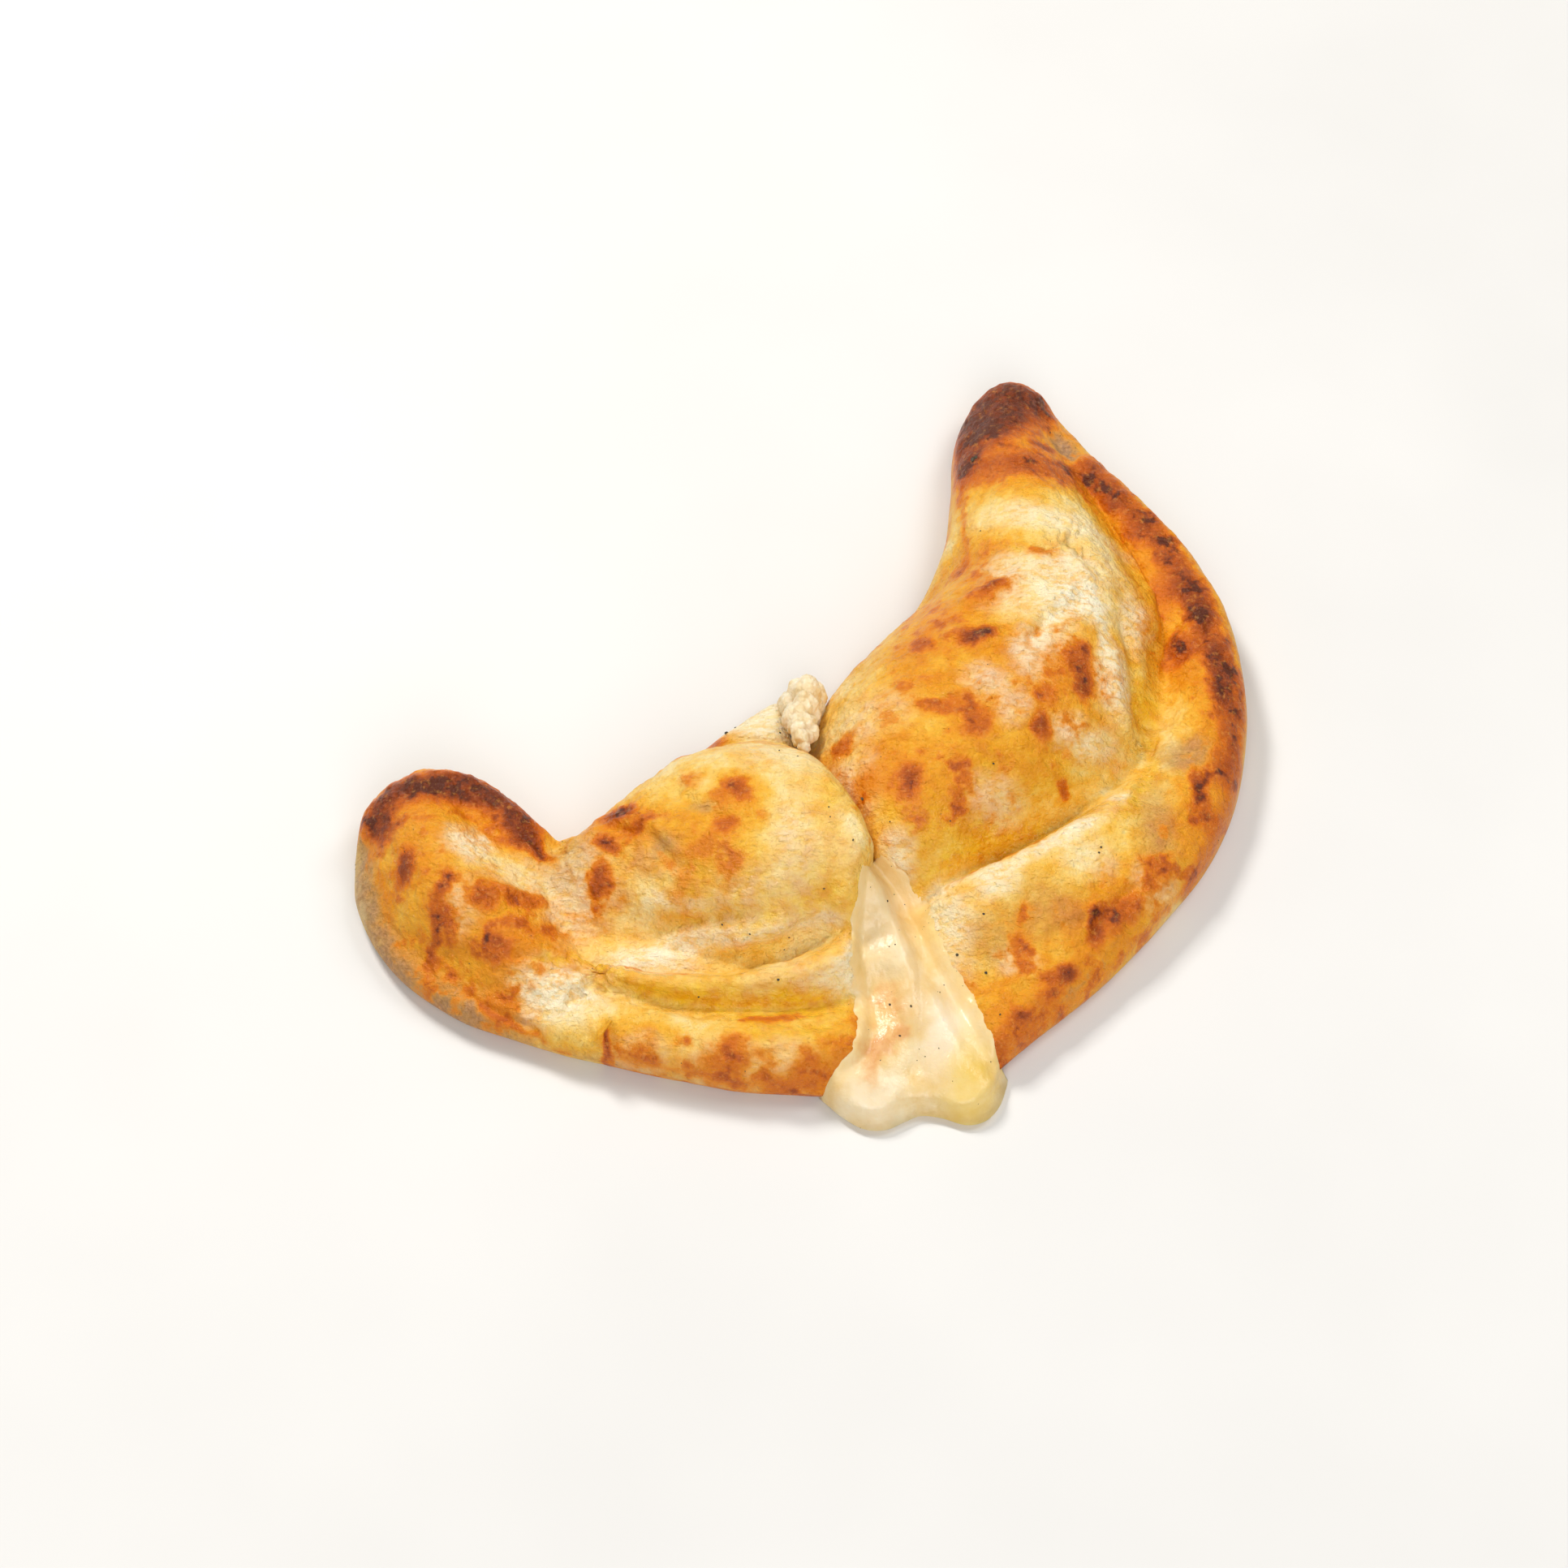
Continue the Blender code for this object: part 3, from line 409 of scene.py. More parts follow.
RIGHT_RIDGES = [
    (1.0, 3.0, [(1190, 735), (1215, 722), (1246, 708)]), (-0.9, 2.0, [(1195, 745), (1225, 734),
    (1250, 716)]),
    (1.0, 3.4, [(1175, 775), (1200, 782), (1222, 775)]), (0.9, 2.4, [(1172, 842), (1195, 846),
    (1218, 832)]),
    (-0.8, 2.0, [(1180, 830), (1192, 834), (1204, 826)]), (-0.9, 2.2, [(1285, 668), (1315, 660),
    (1325, 655)]),
    (-0.9, 2.4, [(1325, 660), (1340, 680), (1360, 700)]), (0.8, 2.4, [(1310, 668), (1330, 690),
    (1345, 712)]),
    (1.9, 7.0, [(1340, 572), (1382, 630), (1412, 700), (1422, 770)]),
    (-1.0, 3.0, [(1390, 760), (1400, 800), (1402, 850), (1412, 890)]),
    (1.0, 4.0, [(1375, 800), (1380, 850), (1392, 900)]), (-1.0, 3.0, [(1420, 890), (1412, 930),
    (1404, 975)]),
    (1.1, 3.0, [(1432, 800), (1460, 775), (1480, 750)]), (-0.9, 2.4, [(1440, 815), (1470, 790),
    (1490, 770)]),
    (-1.0, 2.6, [(1350, 1160), (1365, 1120), (1400, 1090)]), (0.9, 2.4, [(1290, 1140), (1325, 1120),
    (1345, 1110)]),
    (-0.9, 2.2, [(1225, 1222), (1260, 1214), (1290, 1200)]), (1.0, 3.0, [(1188, 1240), (1215, 1228),
    (1240, 1216)]),
    (-1.0, 2.4, [(1160, 1100), (1200, 1082), (1250, 1055)]), (0.9, 2.0, [(1150, 1112), (1180, 1100),
    (1215, 1090)]),
    (0.7, 2.4, [(1260, 770), (1280, 745), (1320, 720)]), (-0.7, 2.0, [(1270, 780), (1290, 760),
    (1330, 740)]),
]
# Folds that fan out from a pinch: pixel u, v, number round a full turn, reach and height
LEFT_FANS = [(737, 1190, 7, 15, 0.40), (762, 1005, 6, 9, 0.35)]
RIGHT_FANS = [(1325, 660, 7, 13, 0.45), (1403, 905, 6, 12, 0.40), (1135, 1104, 7, 12, 0.25)]

# Specks of pepper and herb: pixel u, v and size
LEFT_SPECKS = [
    (1022, 989, 0.5), (1025, 1001, 0.4), (1055, 1030, 0.5), (1020, 1096, 0.45), (975, 1156, 0.5),
    (921, 1155, 0.5), (886, 1134, 0.45), (962, 1207, 0.7), (862, 1234, 0.6), (983, 926, 0.5),
    (960, 919, 0.4), (963, 899, 0.6), (903, 888, 0.5), (884, 893, 1.0), (972, 1170, 0.35),
]
RIGHT_SPECKS = [
    (1195, 563, 1.5), (1198, 561, 1.0), (1060, 987, 0.8), (1175, 1010, 0.5), (1228, 940, 0.6),
    (1357, 1046, 0.7), (1358, 1039, 0.6), (1213, 1122, 0.6), (1177, 1172, 0.7), (1213, 1193, 0.7),
    (1092, 1012, 0.4), (1232, 1245, 0.5), (1205, 650, 0.5), (1300, 530, 0.5),
]
CHEESE_SPECKS = [
    (1099, 1107, 0.5), (1092, 1235, 0.6), (1120, 1235, 0.5), (1110, 1271, 0.5), (1142, 1084, 0.4),
    (1135, 1300, 0.35), (1160, 1220, 0.35), (1098, 1160, 0.4),
]
FREE_SPECKS = 90  # finer ones scattered at random
# The side that the photograph doesn't show: the most that it is gilded and toasted, in uneven patches
HIDDEN_AMBER = 0.8
HIDDEN_TOAST = 0.55
# The pale kind of mark is pale dough and cheese with painted highlights on it. The raw kind is unbrowned dough,
# darkened with painted shade in grooves and on shaded walls; on the cheese it makes darker tan patches.
MARK_KINDS = ("amber", "toast", "oil", "pale", "raw")
HALO = 0.7  # how strongly the dough is gilded round a toasted spot


def srgb(red, green, blue):
    """A colour given as it shows on a screen, 0 to 255, in the shader's linear values."""
    shown = np.array([red, green, blue]) / 255
    linear = np.where(shown <= 0.04045, shown / 12.92, ((shown + 0.055) / 1.055) ** 2.4)
    return (*linear, 1.0)


def smooth_path(points, count):
    """Points on a Catmull-Rom curve through the given ones, which may have any number of values each."""
    p = np.array(points, float)
    p = np.vstack([2 * p[0] - p[1], p, 2 * p[-1] - p[-2]])
    at = np.linspace(0, len(points) - 1, count)
    i = np.minimum(at.astype(int), len(points) - 2)
    t = (at - i)[:, None]
    a, b, c, d = p[i], p[i + 1], p[i + 2], p[i + 3]
    return b + 0.5 * t * (c - a + t * (2 * a - 5 * b + 4 * c - d + t * (3 * (b - c) + d - a)))


def even_path(path, shares):
    """Points of a polyline at the given shares of its length."""
    steps = np.linalg.norm(np.diff(path, axis=0), axis=1)
    along = np.concatenate([[0], np.cumsum(steps)]) / steps.sum()
    return np.stack([np.interp(shares, along, path[:, k]) for k in range(path.shape[1])], axis=1)


def beside(path, distance):
    """A polyline moved sideways in plan, to its left where distance is positive."""
    way = np.gradient(path, axis=0)
    way /= np.linalg.norm(way, axis=1)[:, None]
    return path + np.stack([-way[:, 1], way[:, 0]], axis=1) * distance


def nearest(path, points):
    """For each point: distance to a polyline, and how far along its points the nearest place is."""
    step = np.diff(path, axis=0)
    length2 = np.maximum((step**2).sum(axis=1), 1e-12)
    square = (path**2).sum(axis=1)
    close = np.empty(len(points), int)
    for first in range(0, len(points), 8000):
        some = points[first : first + 8000]
        close[first : first + 8000] = (square - 2 * some @ path.T).argmin(axis=1)
    away = np.full(len(points), 1e9)
    at = np.zeros(len(points))
    for back in (1, 0):
        i = np.clip(close - back, 0, len(step) - 1)
        rel = points - path[i]
        t = np.clip((rel * step[i]).sum(axis=1) / length2[i], 0, 1)
        here = np.linalg.norm(rel - t[:, None] * step[i], axis=1)
        better = here < away
        away[better] = here[better]
        at[better] = (i + t)[better]
    return away, at


def side_of(path, points, at):
    """+1 where a point lies to the left of a polyline in plan, and -1 to its right."""
    i = np.minimum(at.astype(int), len(path) - 2)
    way = path[i + 1] - path[i]
    rel = points - path[i]
    return np.sign(way[:, 0] * rel[:, 1] - way[:, 1] * rel[:, 0])


def value_at(values, at):
    """Values along a polyline, between its points."""
    return np.interp(at, np.arange(len(values)), values)


def smooth_max(a, b, blend):
    near = np.clip(1 - np.abs(a - b) / blend, 0, None)
    return np.maximum(a, b) + blend / 4 * near**2


def smooth_step(t):
    t = np.clip(t, 0, 1)
    return t * t * (3 - 2 * t)


def rounded(distance, width):
    """0 at an edge, rising like a quarter circle to 1 at width."""
    t = np.clip(1 - distance / width, 0, 1)
    return np.sqrt(1 - t * t)


def plan_shift(points):
    return np.array(points, float) + SHIFT


def shifted_rolls(rolls):
    """The rolls with their places moved by SHIFT, and their widths and heights kept."""
    move = np.array([SHIFT[0], SHIFT[1], 0, 0, 0])
    return {name: np.array(points, float) + move for name, points in rolls.items()}


def roll_height(roll, points):
    path = smooth_path(roll, 160)
    away, at = nearest(path[:, :2], points)
    left = side_of(path[:, :2], points, at) > 0
    width = np.where(left, value_at(path[:, 2], at), value_at(path[:, 3], at))
    return value_at(path[:, 4], at) * np.clip(1 - (away / width) ** 2, 0, None) ** ROLL_POWER


def noise_at(points, size, seed, octaves=3):
    """Smooth noise of the given size in millimetres, from about -1 to 1."""
    move = Vector((17.3 * seed, 5.1 * seed, 9.7 * seed))
    return np.array([noise.fractal(Vector(p) + move, 1.0, 2.0, octaves) for p in points / size])


class Half:
    """One half of the dough: its plan, its edge and its cut."""

    def __init__(self, stations, columns, rolls, cut, drop, cut_round):
        self.columns = columns
        self.cut = cut
        self.cut_round = cut_round
        self.rolls = shifted_rolls(rolls)
        self.lines = np.array([smooth_path(line, DOUGH_ROWS + 1) + SHIFT for line in zip(*stations)])
        fold, crimp = (smooth_path([s[i] for s in stations], 400) + SHIFT for i in (0, -1))
        self.edge = np.concatenate([fold[::-1], crimp])
        stretches = np.array(CUT_STRETCHES) * (len(cut) - 1)
        self.drop = np.interp(np.arange(len(cut)), stretches, np.repeat(drop, 2))

    def top(self, points):
        """Height of the dough's upper side at points in plan."""
        inside = nearest(self.edge, points)[0]
        top = EDGE_LOW + (SHEET_TOP - EDGE_LOW) * rounded(inside, SHEET_ROUND)
        for roll in self.rolls.values():
            top = smooth_max(top, roll_height(roll, points), ROLL_BLEND)
        steepest = EDGE_LOW + FOLD_RISE * rounded(inside, FOLD_ROUND)
        top = np.maximum(-smooth_max(-top, -steepest, ROLL_BLEND), EDGE_LOW)
        from_cut, at = nearest(self.cut, points)
        return top * (1 - value_at(self.drop, at) * (1 - rounded(from_cut, self.cut_round)))


def share_of(path, point):
    """How far along a polyline its nearest point to the given one is, from 0 to 1."""
    steps = np.concatenate([[0], np.cumsum(np.linalg.norm(np.diff(path, axis=0), axis=1))])
    return steps[np.linalg.norm(path - point, axis=1).argmin()] / steps[-1]


def plan_grid(lines, end, columns):
    """A grid of points in plan that follows several lines, and closes on the end curve."""
    at = np.concatenate([[0]] + [i + np.arange(1, n + 1) / n for i, n in enumerate(columns)])
    knots = np.array([share_of(end, line[-1]) for line in lines])
    knots[0], knots[-1] = 0.0, 1.0
    lines = lines.copy()
    lines[:, -1] = even_path(end, knots)
    i = np.minimum(at.astype(int), len(lines) - 2)
    t = (at - i)[:, None, None]
    grid = ((1 - t) * lines[i] + t * lines[i + 1]).transpose(1, 0, 2)
    bow = even_path(end, np.interp(at, range(len(knots)), knots)) - grid[-1]
    s = np.linspace(0, 1, lines.shape[1])[:, None, None]
    return grid + s**4 * bow[None, :, :]


def blurred(grid, passes):
    """A grid of heights with its inner points drawn towards their neighbours."""
    grid = grid.copy()
    for _ in range(passes):
        around = grid[:-2, 1:-1] + grid[2:, 1:-1] + grid[1:-1, :-2] + grid[1:-1, 2:]
        grid[1:-1, 1:-1] = 0.5 * grid[1:-1, 1:-1] + 0.125 * around
    return grid


def grid_normals(points):
    """Upward normals of a grid of points."""
    along = np.gradient(points, axis=0)
    across = np.gradient(points, axis=1)
    normal = np.cross(across, along)
    normal *= np.where(normal[..., 2:] < 0, -1, 1)
    return normal / np.maximum(np.linalg.norm(normal, axis=2, keepdims=True), 1e-9)


def photo_pixels(points):
    """Where the camera sees points given in millimetres, in the photograph's pixels."""
    rel = points - np.array([SHIFT[0], SHIFT[1], 0.0]) - BACK * DISTANCE
    depth = -(rel @ BACK)
    scale = PIXELS_PER_MM * DISTANCE / depth
    middle = PHOTO_SIZE / 2
    return np.stack([middle + scale * rel[:, 0], middle - scale * (rel @ CAMERA_UP)], axis=1)


class Surface:
    """The upper side of a piece, on which marks are placed by the photograph's pixels."""

    def __init__(self, points):
        self.points = points
        self.pixels = photo_pixels(points)
        self.towards = points @ BACK
        self.tree = None

    def seat(self, u, v):
        """The point that shows at a pixel, or the nearest one to it."""
        away = np.hypot(self.pixels[:, 0] - u, self.pixels[:, 1] - v)
        close = np.flatnonzero(away < max(6.0, away.min() + 1))
        return self.points[close[self.towards[close].argmax()]]

    def heights(self, plan):
        """Height of the surface at points in plan, from the few of its own points that are nearest."""
        if self.tree is None:
            self.tree = kdtree.KDTree(len(self.points))
            for index, (x, y, _) in enumerate(self.points):
                self.tree.insert((x, y, 0.0), index)
            self.tree.balance()
        found = np.empty(len(plan))
        for index, (x, y) in enumerate(plan):
            close = self.tree.find_n((x, y, 0.0), 16)
            weights = [1 / (distance**2 + 0.2) for _, _, distance in close]
            found[index] = np.average([self.points[k][2] for _, k, _ in close], weights=weights)
        return found

    def stroke(self, pixels):
        return smooth_path([self.seat(u, v) for u, v in pixels], 8 * len(pixels))


def spot_distance(where, centre, half_width, half_depth, turn=0.0):
    """How far points lie from the middle of a spot, where 1 is its rim."""
    angle = math.radians(turn)
    rel = where - centre
    along = (rel[:, 0] * math.cos(angle) + rel[:, 1] * math.sin(angle)) / half_width
    across = (rel[:, 1] * math.cos(angle) - rel[:, 0] * math.sin(angle)) / half_depth
    return np.sqrt(along**2 + across**2)


def painted(surface, spots, strokes, seed):
    """The strength of each kind of mark at every point of a surface."""
    p = surface.points
    where = p + 1.5 * np.stack([noise_at(p, 4.5, seed + k, 4) for k in range(3)], axis=1)
    unmarked = {kind: np.ones(len(p)) for kind in MARK_KINDS}
    for kind in MARK_KINDS:
        distances = [
            (strength, spot_distance(where, surface.seat(u, v), half_width, half_depth, *turn))
            for u, v, half_width, half_depth, strength, *turn in spots.get(kind, [])
        ]
        distances += [
            (strength, nearest(surface.stroke(pixels), where)[0] / width)
            for strength, width, pixels in strokes.get(kind, [])
        ]
        for strength, away in distances:
            unmarked[kind] *= 1 - strength * smooth_step((1.9 - away) / 1.6)
            if kind == "toast":
                unmarked["amber"] *= 1 - HALO * strength * smooth_step((3.2 - away) / 2.4)
    return {kind: 1 - values for kind, values in unmarked.items()}


def fan_folds(points, centre, count, reach, height, seed):
    """Small folds that run out from a pinch, deepest a little way off it."""
    rel = points - centre
    away = np.linalg.norm(rel, axis=1)
    angle = np.arctan2(rel[:, 1], rel[:, 0]) + 1.3 * noise_at(points, 7.0, seed)
    rise = smooth_step(away / 3.0) * smooth_step(1 - away / reach)
    return height * rise * np.sin(count * angle)


def dough_relief(surface, masks, ridges, fans, seed):
    """How far the skin of the dough stands out from its smooth form, in millimetres."""
    p = surface.points
    lumps = 0.55 * noise_at(p, 11.0, seed) + 0.22 * noise_at(p, 4.0, seed + 1)
    wrinkles = np.abs(noise_at(p * np.array([1.0, 0.7, 1.0]), 4.5, seed + 2, 3))
    puckers = np.abs(noise_at(p, 2.0, seed + 3, 2))
    rise = lumps - 0.55 * np.clip(0.35 - wrinkles, 0, None) - 0.22 * puckers
    rise = rise + 0.35 * masks["toast"] * (0.4 + np.clip(noise_at(p, 2.6, seed + 4, 2), -0.5, 1))
    skin = 0.5 - np.abs(noise_at(p * np.array([0.8, 1.2, 1.0]), 3.2, seed + 6, 4))
    rise = rise + masks["pale"] * 0.60 * (skin - 0.3)
    rise = rise * (1 - 0.6 * masks["oil"])
    for height, width, pixels in ridges:
        away = nearest(surface.stroke(pixels), p)[0]
        rise = rise + height * np.exp(-((away / (0.62 * width)) ** 2))
    for u, v, count, reach, height in fans:
        rise = rise + fan_folds(p, surface.seat(u, v), count, reach, height, seed + 7)
    return rise


def warped(points):
    """Every piece is bent a little by the same slow wave, so that no outline is too regular."""
    bend = np.stack([noise_at(points, 26.0, 40 + k, 2) for k in range(2)], axis=1)
    points = points.copy()
    points[:, :2] += 0.4 * bend
    return points


def mesh_piece(name, verts, faces, masks=None):
    """A mesh object from points in millimetres, with its marks as attributes of its points."""
    mesh = bpy.data.meshes.new(name)
    mesh.from_pydata((warped(np.asarray(verts)) * MM).tolist(), [], faces)
    for kind, values in (masks or {}).items():
        layer = mesh.attributes.new(kind, "FLOAT", "POINT")
        layer.data.foreach_set("value", values.astype(np.float32))
    piece = bpy.data.objects.new(name, mesh)
    bpy.context.scene.collection.objects.link(piece)
    return piece


def closed_skin(name, upper, bottom, masks):
    """A closed piece over a grid: upper side, underside and walls. The flat underside is a few large faces."""
    rows, side = upper.shape[0] - 1, upper.shape[1]
    count = upper.shape[0] * side
    i, j = np.meshgrid(np.arange(rows), np.arange(side - 1), indexing="ij")
    a = (i * side + j).ravel()
    quads = np.stack([a, a + side, a + side + 1, a + 1], axis=1)
    ring = list(range(0, side)) + [r * side + side - 1 for r in range(1, rows + 1)]
    ring += [rows * side + c for c in range(side - 2, -1, -1)] + [r * side for r in range(rows - 1, 0, -1)]
    ring = np.array(ring)
    after = np.roll(ring, -1)
    walls = np.stack([ring, after, after + count, ring + count], axis=1)
    faces = np.concatenate([quads, quads[:, ::-1] + count, walls])
    under = upper.copy()
    under[..., 2] = bottom
    verts = np.concatenate([upper.reshape(-1, 3), under.reshape(-1, 3)])
    both = {kind: np.concatenate([values, values]) for kind, values in masks.items()}
    piece = mesh_piece(name, verts, faces.tolist(), both)
    work = bmesh.new()
    work.from_mesh(piece.data)
    bmesh.ops.remove_doubles(work, verts=work.verts, dist=0.01 * MM)
    strips = {}
    for face in work.faces:
        if all(abs(v.co.z) < 1e-7 for v in face.verts):
            strips.setdefault(face.calc_center_median().x // (STRIP_WIDTH * MM), []).append(face)
    for strip in strips.values():
        bmesh.ops.dissolve_faces(work, faces=[f for f in strip if f.is_valid], use_verts=True)
    bmesh.ops.recalc_face_normals(work, faces=work.faces)
    work.to_mesh(piece.data)
    work.free()
    piece.data.shade_smooth()
    return piece


def dough_piece(name, half, spots, strokes, ridges, fans, seed):
    """One half of the baked dough, and the surface that specks are seated on."""
    plan = plan_grid(half.lines, half.cut, half.columns)
    shape = plan.shape[:2]
    flat = plan.reshape(-1, 2)
    top = half.top(flat).reshape(shape)
    inside = nearest(half.edge, flat)[0].reshape(shape)
    bottom = EDGE_LOW * (1 - rounded(inside, EDGE_LOW))
    for border in (np.s_[0], np.s_[:, 0], np.s_[:, -1]):
        top[border] = bottom[border] = EDGE_LOW
    top = blurred(top, SMOOTHING)
    points = np.concatenate([plan, top[..., None]], axis=2)
    surface = Surface(points.reshape(-1, 3))
    masks = painted(surface, spots, strokes, seed)
    hidden = smooth_step((0.25 - grid_normals(points).reshape(-1, 3) @ BACK) / 0.35)
    gilt = hidden * smooth_step(0.55 + 1.4 * noise_at(surface.points, 15.0, seed + 40))
    blotch = hidden * smooth_step((noise_at(surface.points, 8.0, seed + 41) - 0.05) / 0.35)
    masks["amber"] = np.maximum(masks["amber"], HIDDEN_AMBER * gilt)
    masks["toast"] = np.maximum(masks["toast"], HIDDEN_TOAST * blotch)
    rise = dough_relief(surface, masks, ridges, fans, seed + 20)
    from_cut = nearest(half.cut, flat)[0]
    rise = rise * smooth_step(inside.ravel() / 2.0) * (0.25 + 0.75 * smooth_step(from_cut / 4.0))
    points = points + grid_normals(points) * rise.reshape(shape)[..., None]
    points[..., 2] = np.maximum(points[..., 2], bottom + 0.05)
    for border in (np.s_[0], np.s_[:, 0], np.s_[:, -1]):
        points[border][..., 2] = EDGE_LOW
    return closed_skin(name, points, bottom, masks), Surface(points.reshape(-1, 3))


def cheese_piece(name, left, right, seed):
    """The melted cheese, which runs down between the halves, over their cut edges and onto the table."""
    shares = np.linspace(0, 1, CHEESE_ROWS + 1)
    left_lip = smooth_path(plan_shift(LEFT_LIP), 120)
    right_lip = smooth_path(plan_shift(RIGHT_LIP), 120)
    reach = {side: np.interp(shares, *zip(*drape))[:, None] for side, drape in CHEESE_DRAPE.items()}
    sides = np.array([
        beside(even_path(left_lip, shares), -reach["left"]),
        beside(even_path(right_lip, shares), reach["right"]),
    ])
    lobes = smooth_path(plan_shift(CHEESE_LOBES), 200)
    plan = plan_grid(sides, lobes, CHEESE_COLUMNS)
    shape = plan.shape[:2]
    flat = plan.reshape(-1, 2)
    middle = smooth_path([(a + SHIFT[0], b + SHIFT[1], h) for a, b, h in CHEESE_HEIGHTS], 100)
    height = value_at(middle[:, 2], nearest(middle[:, :2], flat)[1])
    for stream in shifted_rolls(CHEESE_STREAMS).values():
        height = height + 0.6 * roll_height(stream, flat)
    ragged = 1 + 0.22 * noise_at(np.column_stack([flat, np.zeros(len(flat))]), 5.0, seed + 9)
    veil = np.zeros(len(flat))
    for side, crust, lip, outer in (("left", left, left_lip, -1), ("right", right, right_lip, 1)):
        away, at = nearest(lip, flat)
        over = side_of(lip, flat, at) * outer > 0
        lip_top = value_at(crust.heights(lip), at) + CHEESE_FILM
        climb = smooth_step(1 - away / CHEESE_CLIMB[side])
        width = np.maximum(np.interp(at / (len(lip) - 1), *zip(*CHEESE_DRAPE[side])), 0.5)
        thin = CHEESE_FILM * (1 - 1.9 * (away * ragged / width) ** 1.5)
        under = np.zeros(len(flat))
        under[over] = crust.heights(flat[over])
        height = np.where(over, under + thin, height + climb * (lip_top - height))
        veil = np.maximum(veil, smooth_step((np.where(over, away, -away) + 3.0) / (0.7 * width + 3.0)))
    inside = nearest(lobes, flat)[0]
    top = CHEESE_EDGE_LOW + (height - CHEESE_EDGE_LOW) * rounded(inside, CHEESE_ROUND)
    bottom = (CHEESE_EDGE_LOW * (1 - rounded(inside, CHEESE_EDGE_LOW))).reshape(shape)
    top = blurred(top.reshape(shape), CHEESE_SMOOTHING)
    top[-1] = bottom[-1] = CHEESE_EDGE_LOW
    points = np.concatenate([plan, top[..., None]], axis=2)
    surface = Surface(points.reshape(-1, 3))
    masks = painted(surface, CHEESE_SPOTS, {}, seed)
    masks["amber"] = veil * smooth_step(inside / 6.0)
    p = surface.points
    rise = 0.5 * noise_at(p, 8.0, seed + 20, 2) + 0.10 * noise_at(p * np.array([1.6, 0.6, 1]), 3.0, seed + 21)
    rise = rise * smooth_step(inside / 3.0) * (1 - veil)
    points = points + grid_normals(points) * rise.reshape(shape)[..., None]
    points[..., 2] = np.maximum(points[..., 2], bottom + 0.05)
    points[-1, :, 2] = CHEESE_EDGE_LOW
    return closed_skin(name, points, bottom, masks), Surface(points.reshape(-1, 3))


def curd_piece(name):
    """The crumbly lumps of ricotta, melted into one."""
    work = bmesh.new()
    for x, y, z, radius in CURDS + CRUMBS:
        lump = bmesh.ops.create_icosphere(work, subdivisions=3, radius=radius)["verts"]
        for vert in lump:
            vert.co.x *= CURD_NARROWING
            vert.co += Vector((x + SHIFT[0], y + SHIFT[1], z))
    mesh = bpy.data.meshes.new(name)
    work.to_mesh(mesh)
    work.free()
    piece = bpy.data.objects.new(name, mesh)
    bpy.context.scene.collection.objects.link(piece)
    remesh = piece.modifiers.new("melt", "REMESH")
    remesh.mode = "VOXEL"
    remesh.voxel_size = 0.3
    bpy.context.view_layer.update()
    graph = bpy.context.evaluated_depsgraph_get()
    piece.data = bpy.data.meshes.new_from_object(piece.evaluated_get(graph))
    piece.modifiers.clear()
    points = np.array([v.co for v in piece.data.vertices])
    normals = np.array([v.normal for v in piece.data.vertices])
    grains = 0.5 * noise_at(points, 3.4, 61) - 0.40 * np.abs(noise_at(points, 1.4, 62)) + 0.10
    points = points + normals * grains[:, None]
    points[:, 2] = np.maximum(points[:, 2], 0.4)
    piece.data.vertices.foreach_set("co", (warped(points) * MM).ravel())
    piece.data.shade_smooth()
    return piece


def speck_piece(name, seats):
    """Small angular bits, each lying on the surface under it. A seat is a point and a size."""
    rng = np.random.default_rng(8)
    work = bmesh.new()
    for place, size in seats:
        bit = bmesh.ops.create_icosphere(work, subdivisions=1, radius=size / 2)["verts"]
        length = rng.uniform(0.8, 1.5)
        turn = rng.uniform(0, math.pi)
        for vert in bit:
            x, y, z = vert.co * rng.uniform(0.75, 1.2)
            x *= length
            along = x * math.cos(turn) - y * math.sin(turn)
            across = x * math.sin(turn) + y * math.cos(turn)
            vert.co = Vector((along, across, 0.55 * z)) + Vector(place)
    mesh = bpy.data.meshes.new(name)
    work.to_mesh(mesh)
    work.free()
    points = np.array([v.co for v in mesh.vertices])
    mesh.vertices.foreach_set("co", (warped(points) * MM).ravel())
    piece = bpy.data.objects.new(name, mesh)
    bpy.context.scene.collection.objects.link(piece)
    return piece


